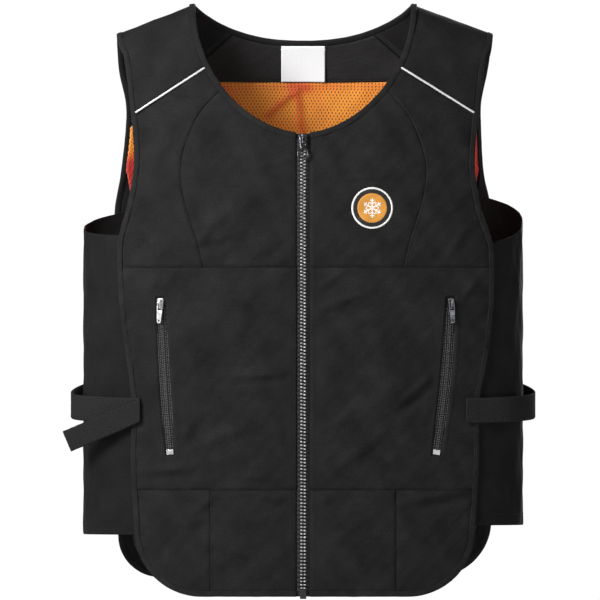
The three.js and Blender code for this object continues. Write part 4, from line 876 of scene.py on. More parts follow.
backNeckLine = np.stack([
    np.linspace(-seams["yokeBackNeck"], seams["yokeBackNeck"], 80),
    neckBackDrop(np.linspace(-seams["yokeBackNeck"], seams["yokeBackNeck"], 80))], -1)


def backEdges(room, neckRoom, lower, top=None):
    sides = {}
    for side in (-1, 1):
        edge, corner, hem = backSide(side)
        whole = joined(edge, corner, hem)
        inner = moved(whole, -(room(whole[:, 1]) if callable(room) else room))
        inner[-1, 0] = 0
        middle = len(edge) + len(corner) // 2
        inner[:, 0] *= side
        sides[side] = (inner[:middle][::-1], inner[middle - 1:])
    if top is None:
        neck = moved(backNeckLine, -neckRoom)
        seam = {}
        for side in (-1, 1):
            reach, drop = yokePlace(side, np.ones(30), yokeSeam(side, 1.0, room, 30)[::-1])
            seam[side] = np.stack([side * reach, drop + lower], -1)
        top = np.concatenate([seam[-1], neck[4:-4], seam[1][::-1]])
    left, right = sides[-1][0].copy(), sides[1][0].copy()
    left[-1], right[-1] = top[0], top[-1]
    low = joined(sides[-1][1], sides[1][1][::-1])
    return low, top, left, right


def backPanel():
    low, top, left, right = backEdges(cloth["edgeRoom"], cloth["edgeRoom"], 0.3)
    run = runAlong(top)
    corners = run[[29, 30, -31, -30]] / run[-1]
    us, vs = np.union1d(np.linspace(0, 1, 130), corners), rolledShares(640, 3.6)
    grid, _ = patch(low, top, left, right, us, vs)
    at, out = bodySpots("back", grid[..., 0], grid[..., 1])
    toSeam = np.where(np.abs(grid[..., 0]) > 70, (1 - vs)[:, None] * 620, 30)
    height = seamHeight(toSeam + 0.15, at, pucker=0.2)
    sewShell("back_panel", at, out, height)


backPanel()
print("back sewn")


# The mesh hangs slack behind the cloth, with painted shade in reddish tones where it lies in folds
lining = {"near": 3.2, "slack": 3.0, "hemRoom": 16, "armRoom": 4, "armEnd": 225.7,
          "zipReach": 25, "topRoom": 4, "bindingRoom": 9.35}


def slackDepth(rows, columns):
    u, v = np.linspace(0, 1, columns)[None], np.linspace(0, 1, rows)[:, None]
    return lining["near"] + lining["slack"] * np.sin(math.pi * u) * np.sin(math.pi * v)


# The mesh stops short of the bound edge, by more below the armhole, where the side panel joins
def meshRoom(drop):
    return mix(lining["armRoom"], lining["hemRoom"], np.clip((drop - lining["armEnd"]) / 30 + 1, 0, 1))


def ridge(x, y, x0, y0, x1, y1, breadth):
    along = np.clip(((x - x0) * (x1 - x0) + (y - y0) * (y1 - y0)) / ((x1 - x0) ** 2 + (y1 - y0) ** 2), 0, 1)
    gap = np.hypot(x - mix(x0, x1, along), y - mix(y0, y1, along))
    return bell(gap, breadth)


# From orange at 0 to the reddish painted shade at 0.5, and 1 in the black band along the hem
def meshTint(red, drop):
    return np.where(drop > meshLook["bandDrop"], 1, np.clip(red, 0, 1) / 2)


def hangMesh(node, at, out, depth, tint):
    upper, lower = at - out * depth[..., None], at - out * (depth + cloth["mesh"])[..., None]
    sewSheet(node, "lining_mesh", meshKnit, upper, lower, redness=tint)


# Folds of the back's mesh that the neck opening shows: from, to, breadth and depth
meshFolds = [
    (-8, 96, -1, 152, 3.0, 2.6), (-9, 100, -42, 129, 3.0, 2.2), (-12, 95, 4, 96, 5, 1.2),
    (-120, 95, -98, 116, 12, 1.4),
]


def backLining():
    seam = {}
    for side in (-1, 1):
        reach, drop = yokePlace(side, np.ones(200), yokeSeam(side, 1.0, 8.0, 200)[::-1])
        line = np.stack([side * reach, drop + 4], -1)
        seam[side] = line[line[:, 1] >= seams["facing"] + 2.5]
    top = joined(seam[-1], line2(seam[-1][-1], seam[1][-1], 60), seam[1][::-1])
    low, top, left, right = backEdges(meshRoom, 0, 0, top)
    us, vs = np.linspace(0, 1, 120), np.linspace(0, 1, 170)
    grid, _ = patch(low, top, left, right, us, vs)
    x, drop = grid[..., 0], grid[..., 1]
    folds = sum(h * ridge(x, drop, x0, d0, x1, d1, b) for x0, d0, x1, d1, b, h in meshFolds)
    folds = folds + 0.8 * unevenness(x * 1.4, drop * 0.9)
    at, out = bodySpots("back", x, drop)
    depth = slackDepth(170, 120) + np.maximum(0, folds + 1) * np.minimum(1, (1 - vs)[:, None] * 40)
    # Painted shade, in reddish tones: along the mesh's folds, just below the facing's lower edge and towards
    # the side edges
    red = sum(ridge(x, drop, x0, d0, x1, d1, b * 1.5) for x0, d0, x1, d1, b, h in meshFolds)
    red = np.clip(red * 0.42, 0, 0.45) + 0.15 * bell(drop - 96, 5)
    red = red + 0.95 * smooth((np.abs(x) - 150) / 30) * smooth((drop - 165 + 30 * (x > 0)) / 30)
    hangMesh("back_lining", at, out, depth, meshTint(red, drop))


def frontLining(side):
    label = sideNames[side]
    outline = frontOutline(side)
    whole = joined(outline["hemOuter"], outline["waist"], outline["chest"])
    outer = moved(whole, meshRoom(whole[:, 1]))
    outer[-1, 1] += lining["topRoom"]
    inner, room = lining["zipReach"], lining["bindingRoom"]
    angles = np.linspace(neckReachAngle(inner), neckFrontAngle(seams["yokeFrontNeck"]), 60)
    neck = moved(neckFront(angles), -room)
    neck[0, 0], neck[-1, 1] = inner, neck[-1, 1] + lining["topRoom"]
    hemDrop = body["length"] - room
    cornerReach = edgeReach(frontEdgeTable, side, body["length"] - seams["corner"]) - seams["corner"]
    low = joined(line2((inner, hemDrop), (cornerReach, hemDrop)), line2((cornerReach, hemDrop), outer[0], 20))
    innerLine = joined(line2((inner, hemDrop), neck[0], 60), neck)
    grid, _ = patch(low, line2(innerLine[-1], outer[-1]), innerLine, outer,
                    np.linspace(0, 1, 54), np.linspace(0, 1, 150))
    at, out = bodySpots("front", side * grid[..., 0], grid[..., 1])
    folds = 0.9 * unevenness(grid[..., 0] * 1.3, grid[..., 1])
    depth = slackDepth(150, 54) + np.maximum(0, folds + 0.6)
    # Painted shade, in reddish tones, towards the outer edge by the armhole
    red = np.clip((grid[..., 0] - 170) / 30, 0, 1) * 0.8
    hangMesh(f"front_lining_{label}", at, out, depth, meshTint(red, grid[..., 1]))


backLining()
for side in (-1, 1):
    frontLining(side)
print("mesh hung")


# The black band inside the back of the neck
facing = {"half": 147, "turn": 1.2, "dip": 1.6, "sink": 3.6, "thickness": 1.2, "stitchIn": 4,
          "seams": ((78, 40, 122, 77), (98, 29, 138, 58))}


def backFacing():
    neck = moved(backNeckLine, -cloth["edgeRoom"])
    half, edge = facing["half"], seams["facing"] + facing["turn"]
    low = line2((-half, edge), (half, edge), 80)
    low[:, 1] += facing["dip"] * np.cos(np.linspace(-math.pi / 2, math.pi / 2, 80))
    grid, _ = patch(low, neck, line2(low[0], neck[0]), line2(low[-1], neck[-1]),
                    np.linspace(0, 1, 90), np.linspace(0, 1, 26))
    x, drop = grid[..., 0], grid[..., 1]
    at, out = bodySpots("back", x, drop, False)
    sag = 0.5 * unevenness(x * 1.2, drop) + 0.5
    # Two seams run from each end of the neckline down to the band's lower edge
    for a, b, c, d in facing["seams"]:
        for side in (-1, 1):
            sag = sag + 0.8 * ridge(x, drop, side * a, b, side * c, d, 1.4)
    hemRoll = 0.5 * bell(edge - drop, facing["turn"])
    depth = facing["sink"] + np.maximum(sag, 0)
    upper = at - out * depth[..., None]
    lower = at - out * (depth + facing["thickness"] - hemRoll)[..., None]
    sewSheet("back_facing", "shell_cloth", innerTwill, upper, lower)
    reach = half - facing["stitchIn"]
    at, out = bodySpots("back", np.linspace(-reach, reach, 90), np.full(90, seams["facing"] - 1.6), False)
    stitchLines.append((at - out * 5.6, -out))


backFacing()
print("facing sewn")


# The stretch side panels pass inside the bound edges of the front and the back
sideLook = {"overlap": 12, "sink": 2.75, "around": (0, 0.44, 0.56, 1),
            "top": {-1: (0.392, 0.384, 0.377, 0.351), 1: (0.408, 0.379, 0.361, 0.322)},
            "hem": {-1: 628, 1: 617}, "hemTurn": 12, "thickness": 2.2,
            "hemRise": 0.55, "turnRise": 0.4, "topRise": 0.5, "wave": 1.6}


def sidePanel(side):
    label = sideNames[side]
    n = body["ovalness"]

    def place(angle, drop):
        reach = body["halfChest"] * np.abs(np.cos(angle)) ** (2 / n)
        front = bodyPoint("front", side * reach, drop, False)
        back = bodyPoint("back", side * reach, drop, False)
        return np.where((angle < 0)[..., None], front, back)

    us, vs = np.linspace(0, 1, 110), rolledShares(370, 3.4)
    topDrop = through(np.array(sideLook["around"]), np.array(sideLook["top"][side]), us) * body["length"]
    hem = sideLook["hem"][side]
    drop = mix(hem, topDrop[None], vs[:, None])
    front, back = (np.arccos(((edgeReach(table, side, drop) - sideLook["overlap"]) / body["halfChest"])
                             ** (n / 2)) for table in (frontEdgeTable, backEdgeTable))
    angle = mix(-front, back, us[None])
    angle = np.where(np.abs(angle) < 1e-3, 1e-3, angle)
    at, _ = spots(place, angle, drop, 0.004)
    across = unit(np.gradient(at, axis=1))
    upward = unit(np.gradient(at, axis=0))
    out = unit(np.cross(across, upward))
    out = np.where((out[..., :1] * side) < 0, -out, out)
    hemFold, topFold = bell(hem - drop, 1.5), bell(drop - topDrop[None], 1.5)
    hemLine = bell(hem - sideLook["hemTurn"] - drop, 0.9)
    waves = sideLook["wave"] * unevenness(at[..., 1] * 1.6 + 30, at[..., 2] * 0.5) - 0.6
    depth = (sideLook["sink"] + sideLook["hemRise"] * hemFold + sideLook["turnRise"] * hemLine
             + sideLook["topRise"] * topFold)
    depth = depth - np.clip(waves, -1.6, 0.6) * np.sin(math.pi * us)[None] ** 0.5
    upper = at - out * depth[..., None]
    lower = at - out * (sideLook["sink"] + sideLook["thickness"])
    sewSheet(f"side_panel_{label}", "stretch_cloth", stretchKnit, upper, lower)
    hemRow = np.argmin(np.abs(drop[:, 0] - (hem - sideLook["hemTurn"])))
    stitchLines.append((upper[hemRow] + out[hemRow] * 0.05, out[hemRow]))


for side in (-1, 1):
    sidePanel(side)
print("side panels sewn")


# Sweeps a section (across, out) along a line with its own across and outward directions
def sweep(name, at, across, out, section, material, slot, nodes=()):
    section = np.asarray(section, float)
    rings = (at[:, None] + across[:, None] * section[None, :, :1] + out[:, None] * section[None, :, 1:])
    rows, count = rings.shape[:2]
    index = np.arange(rows * count).reshape(rows, count)
    turned = np.roll(index, -1, axis=1)
    sides = np.stack([index[:-1], turned[:-1], turned[1:], index[1:]], -1).reshape(-1, 4)
    faces = sides.tolist() + [index[0][::-1].tolist(), index[-1].tolist()]
    run, around = runAlong(at), runAlong(section)
    uvs = np.stack(np.broadcast_arrays(run[:, None], around[None]), -1).reshape(-1, 2)
    middle = rings[rows // 2]
    centre = middle.mean(axis=0)
    normal = np.cross(middle[1] - middle[0], rings[rows // 2 - 1][0] - middle[0])
    if np.dot(normal, middle[0] - centre) < 0:
        faces = [face[::-1] for face in faces]
    piece = makePiece(name, rings.reshape(-1, 3), faces, material, uvs)
    return ownBy(piece, nodes) if slot else piece


# A folded tape around a cloth edge: how far in from the edge, and how far out of the cloth
bindingSection = [
    (7.0, 0.1), (6.75, 0.6), (6.2, 0.78), (5.4, 0.62), (4.6, 0.86), (3.2, 0.95), (1.6, 0.9), (0.6, 0.6),
    (0.1, 0.0), (0.0, -0.9), (0.1, -1.8), (0.6, -2.4), (1.6, -2.7), (3.2, -2.75), (5.0, -2.65),
    (6.4, -2.55), (7.0, -2.0),
]


# A row along an edge: places, the way in from the edge and the way out of the cloth
def edgeRow(face, side, line, turn):
    inner = moved(line, turn)
    at, out = bodySpots(face, side * line[:, 0], line[:, 1])
    beside, _ = bodySpots(face, side * inner[:, 0], inner[:, 1])
    return at, beside - at, out


def yokeRow(side, end, overs):
    share = yokeShare(side, overs, end, 1.0)
    at, out = yokeSpots(side, overs, np.full_like(overs, end))
    beside, _ = yokeSpots(side, overs, np.abs(end - share))
    return at, beside - at, out


def chain(rows):
    at, across, out = (np.concatenate(parts) for parts in zip(*rows))
    far = np.concatenate([[True], np.linalg.norm(np.diff(at, axis=0), axis=1) > 0.8])
    at, across, out = at[far], across[far], out[far]
    across = across - out * (across * out).sum(axis=1, keepdims=True)
    return at, unit(across), unit(out)


def backwards(row):
    return tuple(part[::-1] for part in row)


def bind(name, rows, nodes):
    at, across, out = chain(rows)
    run = runAlong(at)
    ripple = 0.12 * np.sin(run / 3.1) + 0.1 * np.sin(run / 8.3)
    sweep(name, at + out * ripple[:, None], across, out, bindingSection, bindingTape, "binding_tape", nodes)
    stitchLines.append((at + across * 5.5 + out * 0.72, out))


def bindings():
    overs = np.linspace(-1, 1, 90)
    arms = np.linspace(-1, -0.014, 46)
    for side in (-1, 1):
        outline = frontOutline(side)
        line = joined(*[evenly(outline[k], np.linspace(0, 1, n)) for k, n in
                        (("hemCentre", 40), ("hemSide", 24), ("hemOuter", 30), ("waist", 70), ("chest", 60))])
        rows = [edgeRow("front", side, line, 1), yokeRow(side, 1, arms)]
        bind(f"front_binding_{sideNames[side]}_tape", rows, [f"front_binding_{sideNames[side]}"])
    halves = []
    for side in (-1, 1):
        neck = joined(*frontNeckline())
        halves.append([edgeRow("front", side, neck, -1), yokeRow(side, 0, overs)])
    rows = halves[0] + [edgeRow("back", 1, backNeckLine, -1)] + [backwards(r) for r in halves[1][::-1]]
    bind("neck_binding_tape", rows, ["neck_binding"])
    halves = []
    for side in (-1, 1):
        halves.append([yokeRow(side, 1, -arms[::-1]), edgeRow("back", side, joined(*backSide(side)), -1)])
    bind("back_binding_tape", halves[0] + [backwards(r) for r in halves[1][::-1]], ["back_binding"])


bindings()
print("edges bound")

# Behind each seam lie the turned-in edges of its two pieces, pressed flat
allowance = [(-4.2, -1.84), (4.2, -1.84), (4.4, -2.0), (4.2, -2.2), (-4.2, -2.2), (-4.4, -2.0)]


def seamAllowances():
    for side in (-1, 1):
        label = sideNames[side]

        def press(name, at, across, out):
            sweep(f"{name}_allowance_{label}", at, across, out, allowance, innerTwill, "shell_cloth")

        for name, drop in (("chest", seams["chest"]), ("hem", seams["hem"])):
            end = float(edgeReach(frontEdgeTable, side, drop)) - 5
            line = line2((seams["zipEdge"] + 0.8, drop), (end, drop), 110)
            press(name, *chain([edgeRow("front", side, line, 1)]))
        split = line2((seams["hemSplit"], body["length"] - 7), (seams["hemSplit"], seams["hem"] + 5), 50)
        press("princess", *chain([edgeRow("front", side, princessLine(70)[2:], 1)]))
        press("split", *chain([edgeRow("front", side, split, 1)]))
        for name, over in (("front_yoke", -1.0), ("back_yoke", 1.0)):
            at, out = yokeSpots(side, np.full(80, over), np.linspace(0.012, 0.988, 80))
            press(name, at, unit(np.cross(out, unit(np.gradient(at, axis=0)))), out)


seamAllowances()
print("seams backed")


def roundSection(radius, count):
    angles = np.linspace(0, 2 * math.pi, count, endpoint=False)
    return radius * np.stack([np.cos(angles), np.sin(angles)], -1)


# Reflective piping stands in the front yoke seams
pipingLook = {"radius": 1.25, "lift": 1.35, "room": 6.4}


def yokePiping(side):
    at, out = yokeSpots(side, np.full(60, -1.0), yokeSeam(side, -1.0, pipingLook["room"], 60))
    run = np.linspace(0, 1, 60)
    at = at + out * (pipingLook["lift"] + 0.15 * np.sin(run * 19))[:, None]
    along = unit(np.gradient(at, axis=0))
    label = sideNames[side]
    sweep(f"piping_{label}_cord", at, unit(np.cross(out, along)), out, roundSection(pipingLook["radius"], 12),
          piping, "reflective_piping", [f"piping_{label}"])


for side in (-1, 1):
    yokePiping(side)


# Repeats a small mesh along lines. The lines are edges with an outward direction on each point
def repeatTree():
    tree = bpy.data.node_groups.new("repeatAlongLines", "GeometryNodeTree")
    for name, kind in (("Geometry", "Geometry"), ("Spacing", "Float"), ("Unit", "Object"),
                       ("Finish", "Material")):
        tree.interface.new_socket(name, in_out="INPUT", socket_type="NodeSocket" + kind)
    tree.interface.new_socket("Geometry", in_out="OUTPUT", socket_type="NodeSocketGeometry")
    given = addNode(tree, "NodeGroupInput")
    curve = addNode(tree, "GeometryNodeMeshToCurve", {"Mesh": (given, "Geometry")})
    points = addNode(tree, "GeometryNodeResampleCurve", {
        "Curve": (curve, "Curve"), "Length": (given, "Spacing")}, mode="LENGTH")
    out = addNode(tree, "GeometryNodeInputNamedAttribute", {"Name": "out"}, data_type="FLOAT_VECTOR")
    along = addNode(tree, "GeometryNodeInputTangent")
    stand = addNode(tree, "FunctionNodeAlignRotationToVector", {"Vector": (out, "Attribute")}, axis="Z")
    turn = addNode(tree, "FunctionNodeAlignRotationToVector", {
        "Rotation": (stand, "Rotation"), "Vector": (along, "Tangent")}, axis="X", pivot_axis="Z")
    unitInfo = addNode(tree, "GeometryNodeObjectInfo", {"Object": (given, "Unit")})
    copies = addNode(tree, "GeometryNodeInstanceOnPoints", {
        "Points": (points, "Curve"), "Instance": (unitInfo, "Geometry"), "Rotation": (turn, "Rotation")})
    real = addNode(tree, "GeometryNodeRealizeInstances", {"Geometry": (copies, "Instances")})
    finish = addNode(tree, "GeometryNodeSetMaterial", {
        "Geometry": (real, "Geometry"), "Material": (given, "Finish")})
    addNode(tree, "NodeGroupOutput", {"Geometry": (finish, "Geometry")})
    return tree


repeater = repeatTree()


def repeatAlong(name, lines, unitPiece, spacing, material, nodes=()):
    points = np.concatenate([at for at, _ in lines])
    normals = np.concatenate([out for _, out in lines])
    edges, start = [], 0
    for at, _ in lines:
        edges += [(start + i, start + i + 1) for i in range(len(at) - 1)]
        start += len(at)
    mesh = bpy.data.meshes.new(name + "_lines")
    mesh.from_pydata((points * mm).tolist(), edges, [])
    outward = mesh.attributes.new("out", "FLOAT_VECTOR", "POINT")
    outward.data.foreach_set("vector", normals.astype(np.float32).ravel())
    guide = bpy.data.objects.new(name + "_lines", mesh)
    scene.collection.objects.link(guide)
    modifier = guide.modifiers.new("repeat", "NODES")
    modifier.node_group = repeater
    values = {"Spacing": spacing * mm, "Unit": unitPiece, "Finish": material}
    for item in repeater.interface.items_tree:
        if item.item_type == "SOCKET" and item.in_out == "INPUT" and item.name in values:
            modifier[item.identifier] = values[item.name]
    bpy.context.view_layer.update()
    evaluated = guide.evaluated_get(bpy.context.evaluated_depsgraph_get())
    made = bpy.data.meshes.new_from_object(evaluated)
    guide.modifiers.remove(modifier)
    bpy.data.objects.remove(guide)
    if not made.materials:
        made.materials.append(material)
    made.polygons.foreach_set("use_smooth", [True] * len(made.polygons))
    piece = bpy.data.objects.new(name, made)
    scene.collection.objects.link(piece)
    print(f"{name}: {len(made.polygons)} faces")
    return ownBy(piece, nodes)


# Faces of a closed shape lofted through rings of points
def loftFaces(rings, count, flip=False):
    faces = []
    for r in range(rings - 1):
        for k in range(count):
            a, b = r * count + k, r * count + (k + 1) % count
            faces.append((b, b + count, a + count, a))
    faces.append(tuple(range(count))[::-1])
    faces.append(tuple(range((rings - 1) * count, rings * count)))
    return [face[::-1] for face in faces] if flip else faces


# A ring-by-ring closed shape along local X, from (x, half width, half height, height of middle)
def tubeUnit(name, stations, count):
    points = []
    for x, wide, high, lift in stations:
        points += [(x, wide * across, lift + high * up) for across, up in roundSection(1, count)]
    return makePiece(name, points, loftFaces(len(stations), count), None)


# One zip tooth, lofted along local Y from its root to its head. Z stands out of the cloth
# Rows: place along, half width, foot and top
teeth = {"pitch": 4.0, "square": 1.08, "stations": [
    (-3.3, 0.4, -1.1, 0.1), (-3.1, 0.85, -1.3, 0.75), (-2.6, 1.0, -1.3, 1.05), (-1.7, 1.0, -1.3, 1.1),
    (-1.15, 0.85, -1.3, 0.85), (-0.8, 0.55, -1.2, 0.1), (-0.4, 0.6, -1.1, -0.15), (0.1, 0.9, -1.1, -0.1),
    (0.6, 0.75, -1.0, -0.2), (0.85, 0.35, -0.9, -0.4),
]}


def toothUnit():
    points, count = [], 8
    for y, wide, low, high in teeth["stations"]:
        middle, half = (low + high) / 2, (high - low) / 2
        for k in range(count):
            a = 2 * math.pi * (k + 0.5) / count
            across, up = teeth["square"] * math.cos(a), teeth["square"] * math.sin(a)
            points.append((wide * max(-1, min(1, across)), y, middle + half * max(-1, min(1, up))))
    return makePiece("tooth", points, loftFaces(len(teeth["stations"]), count, True), None)


def zipBandGrid(low, high, across, sink, rows):
    drops = np.linspace(low, high, rows)
    x, drop = np.meshgrid(across, drops)
    at, out = bodySpots("front", x, drop, False)
    return at - out * np.broadcast_to(np.asarray(sink, float), x.shape)[..., None], out


# The teeth start below the neckline, under the slider, and end above the hem in the box
# The tape's sink under the cloth's face goes with the reach from the middle
frontChain = {
    "below": 15.85, "above": 9.0, "row": 2.0, "beadReach": 0.66, "beadRadius": 0.7, "beadSink": 0.55,
    "columns": [0.45, 1.6, 3.0, 4.2, 5.4, 7.0, 9.0, 12.0, 15.4], "tape": 0.8,
    "reach": [0, 2.0, 3.4, 5.0, 8.0, 16], "sink": [1.2, 1.0, 1.15, 1.7, 2.3, 2.7],
}


def frontZip():
    chainTop, chainEnd = body["neckFront"] + frontChain["below"], body["length"] - frontChain["above"]
    for side in (-1, 1):
        across = np.sort(side * np.array(frontChain["columns"]))
        sink = np.interp(np.abs(across), frontChain["reach"], frontChain["sink"])
        grid, out = zipBandGrid(body["length"] - 0.4, body["neckFront"] + 0.8, across, sink[None], 200)
        lower = grid - out * frontChain["tape"]
        piece = clothPiece(f"zip_tape_{sideNames[side]}_weave", grid, lower, zipWeave)
        ownBy(piece, [f"zip_tape_{sideNames[side]}"])
        bead = np.linspace(body["length"] - 1, body["neckFront"] + 1.5, 200)
        at, out = bodySpots("front", np.full(200, side * frontChain["beadReach"]), bead, False)
        beadLine = at - out * frontChain["beadSink"]
        along = unit(np.gradient(beadLine, axis=0))
        sweep(f"zip_bead_{sideNames[side]}", beadLine, unit(np.cross(out, along)), out,
              roundSection(frontChain["beadRadius"], 8), zipWeave, "zip_textile")
    tooth = toothUnit()
    lines = []
    for side in (-1, 1):
        first = chainTop + (0 if side < 0 else teeth["pitch"] / 2)
        drops = np.arange(first, chainEnd, frontChain["row"])
        drops = drops if side < 0 else drops[::-1]
        at, out = bodySpots("front", np.zeros(len(drops)), drops, False)
        lines.append((at + out * 0.1, out))
    repeatAlong("zip_chain_teeth", lines, tooth, teeth["pitch"], toothMetal, ["zip_chain"])
    bpy.data.objects.remove(tooth)


frontZip()
print("front zip made")


# A pocket zip: two rows of coil on a woven tape, under the slot's turned edges
# The coil starts below the zip's top end, under the slider, and ends above the bottom stop
pocketTape = {
    "columns": [-9.5, -6, -4.4, -3.4, -2.4, -0.3, 0.3, 2.4, 3.4, 4.4, 6, 9.5], "past": 9, "thickness": 0.8,
    "reach": [0, 0.3, 2.6, 5, 9.5], "sink": [1.9, 1.5, 1.3, 1.7, 2.75],
}
coil = {"pitch": 2.2, "reach": 1.15, "sink": 0.7, "below": 14, "above": 7.5, "stations": [
    (-0.6, 0.1, 0.1, -0.3), (-0.45, 0.85, 0.4, 0.1), (0.0, 1.0, 0.5, 0.25), (0.45, 0.85, 0.4, 0.1),
    (0.6, 0.1, 0.1, -0.3),
]}


def pocketZip(side):
    label = sideNames[side]

    def rail(offset, low, high, sink, count=120):
        drops = np.linspace(low, high, count)
        at, out = bodySpots("front", side * (pocketReach(side, drops) + offset), drops, False)
        return at - out * sink, out

    end = pocket["top"] + pocket["length"]
    past, across = pocketTape["past"], np.array(pocketTape["columns"])
    sink = np.interp(np.abs(across), pocketTape["reach"], pocketTape["sink"])
    rows = [rail(a, end + past, pocket["top"] - past, s) for a, s in zip(across, sink)]
    grid, out = np.stack([r[0] for r in rows], 1), np.stack([r[1] for r in rows], 1)
    piece = clothPiece(f"pocket_tape_{label}_weave", grid, grid - out * pocketTape["thickness"], zipWeave)
    ownBy(piece, [f"pocket_tape_{label}"])
    loop = tubeUnit("coilLoop", coil["stations"], 6)
    coilFrom, coilTo = pocket["top"] + coil["below"], end - coil["above"]
    lines = [rail(-coil["reach"], coilTo, coilFrom, coil["sink"]),
             rail(coil["reach"], coilFrom + coil["pitch"] / 2, coilTo, coil["sink"])]
    repeatAlong(f"pocket_coil_{label}_loops", lines, loop, coil["pitch"], coilNylon,
                [f"pocket_coil_{label}"])
    bpy.data.objects.remove(loop)
    for offset in (-3.7, 3.7):
        coilStitches.append(rail(offset, coilTo, coilFrom, 1.25))
    for offset in (-5.9, 5.9):
        coilStitches.append(rail(offset, end - 34, pocket["top"] + 44, 1.65))


for side in (-1, 1):
    pocketZip(side)
print("pocket zips made")


# A copy of a solid with its edges worn round, as cast or moulded pieces have them
def roundedCopy(node, radius, material, rider):
    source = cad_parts[node]
    source = bpy.data.objects[source] if isinstance(source, str) else source
    mesh = source.data.copy()
    work = bmesh.new()
    work.from_mesh(mesh)
    bmesh.ops.remove_doubles(work, verts=work.verts, dist=2e-6)
    bmesh.ops.dissolve_limit(work, angle_limit=math.radians(1.5), verts=work.verts, edges=work.edges)
    sharp = [e for e in work.edges if len(e.link_faces) == 2 and e.calc_face_angle(0) > math.radians(28)]
    bmesh.ops.bevel(work, geom=sharp, offset=radius * mm, segments=3, profile=0.6, affect="EDGES",
                    clamp_overlap=True)
    bmesh.ops.triangulate(work, faces=[f for f in work.faces if len(f.verts) > 4])
    work.to_mesh(mesh)
    work.free()
    mesh.materials.clear()
    mesh.materials.append(material)
    mesh.polygons.foreach_set("use_smooth", [True] * len(mesh.polygons))
    mesh.set_sharp_from_angle(angle=math.radians(40))
    piece = bpy.data.objects.new(f"{node}_cast", mesh)
    scene.collection.objects.link(piece)
    return ownBy(piece, [node], rider)


roundedCopy("zip_slider", 0.5, gunmetal, "vest")
roundedCopy("zip_pull", 0.42, gunmetal, "zip_pull")
roundedCopy("zip_box", 0.5, boxAcetal, "vest")
# The left pocket's slider and pull take the paler copy, which is painted light; the right pocket's take the
# plain plated metal
for hand, metal in (("left", litPullMetal), ("right", gunmetal)):
    roundedCopy(f"pocket_slider_{hand}", 0.4, metal, "vest")
    roundedCopy(f"pocket_pull_{hand}", 0.35, metal, f"pocket_pull_{hand}")
    roundedCopy(f"pocket_stop_{hand}", 0.4, stopMetal, "vest")
print("metal fitted")


# Straps of brushed webbing
strapLook = {
    "width": 30, "thickness": 2.0, "drop": 481, "end": 192, "bulge": 10.5, "rise": 24, "backLift": 2,
    "lift": 2.35, "tail": 96, "tailFall": 23, "tailWidth": 26, "tailSweep": 0.22, "loopDepth": 0.18,
    "backOverlap": 26, "fluff": 0.28, "rows": 120,
}


# A smooth curve through points, spaced by the root of their distance, in even steps
def smoothPath(knots, count):
    knots = np.asarray(knots, float)
    knots = np.concatenate([[2 * knots[0] - knots[1]], knots, [2 * knots[-1] - knots[-2]]])
    fine = []
    for p0, p1, p2, p3 in zip(knots, knots[1:], knots[2:], knots[3:]):
        d = [max(np.linalg.norm(b - a) ** 0.5, 1e-4) for a, b in ((p0, p1), (p1, p2), (p2, p3))]
        t1 = (p1 - p0) / d[0] - (p2 - p0) / (d[0] + d[1]) + (p2 - p1) / d[1]
        t2 = (p2 - p1) / d[1] - (p3 - p1) / (d[1] + d[2]) + (p3 - p2) / d[2]
        t = np.linspace(0, 1, 40)[:, None]
        m1, m2 = t1 * d[1], t2 * d[1]
        fine.append((2 * t ** 3 - 3 * t ** 2 + 1) * p1 + (t ** 3 - 2 * t ** 2 + t) * m1
                    + (3 * t ** 2 - 2 * t ** 3) * p2 + (t ** 3 - t ** 2) * m2)
    return evenly(joined(*fine), np.linspace(0, 1, count))


def webbingSection(width, thickness):
    half, edge = width / 2, thickness / 2
    across = np.linspace(-half + 0.8, half - 0.8, 13)
    up = [(a, edge) for a in across]
    down = [(a, -edge) for a in across[::-1]]
    return up + [(half - 0.2, edge * 0.6), (half, 0), (half - 0.2, -edge * 0.6)] + down + [
        (-half + 0.2, -edge * 0.6), (-half, 0), (-half + 0.2, edge * 0.6)]


def strapPath(side):
    look, drop = strapLook, strapLook["drop"]
    backDrop = drop - look["rise"]

    def lying(face, reach, down, over):
        at, out = bodySpots(face, np.array([side * reach]), np.array([float(down)]), False)
        return (at + out * over)[0]

    edge = float(edgeReach(frontEdgeTable, side, drop))
    back = float(edgeReach(backEdgeTable, side, backDrop))
    sideReach = body["halfChest"] + look["bulge"] - look["thickness"]
    depth = body["halfChest"] * look["loopDepth"]
    knots = [lying("front", look["end"], drop, look["lift"]), lying("front", edge, drop, look["lift"])]
    for out, y, share in ((0.62, -1, 0.06), (1, -0.3, 0.18), (1, 0.3, 0.4), (0.62, 1, 0.75)):
        x = mix(edge if y < 0 else back, sideReach, out)
        knots.append(np.array([side * x, depth * y, -mix(drop, backDrop, share)]))
    knots += [lying("back", back, backDrop, look["lift"] + look["backLift"]),
              lying("back", back - look["backOverlap"], backDrop, look["lift"] + look["backLift"] / 2)]
    return smoothPath(knots, look["rows"])


def webbingBand(name, at, across, width, nodes):
    along = unit(np.gradient(at, axis=0))
    out = unit(np.cross(along, across))
    heart = np.array([at[len(at) // 2][0] * 0.4, 0, at[len(at) // 2][2]])
    if np.dot(out[len(out) // 2], at[len(at) // 2] - heart) < 0:
        out = -out
    piece = sweep(name, at, across, out, webbingSection(width, strapLook["thickness"]), webbing, None)
    # The face is brushed: each point stands a little in or out, by a fixed uneven row of numbers
    fluff = np.sin(np.arange(len(piece.data.vertices)) * 12.9898) * 43758.5453
    fluff = (fluff - np.floor(fluff) - 0.5) * strapLook["fluff"] * mm
    places = np.empty(len(piece.data.vertices) * 3)
    piece.data.vertices.foreach_get("co", places)
    normals = np.array([v.normal[:] for v in piece.data.vertices])
    places = places.reshape(-1, 3) + normals * fluff[:, None]
    piece.data.vertices.foreach_set("co", places.ravel())
    piece.data.update()
    return ownBy(piece, nodes), out


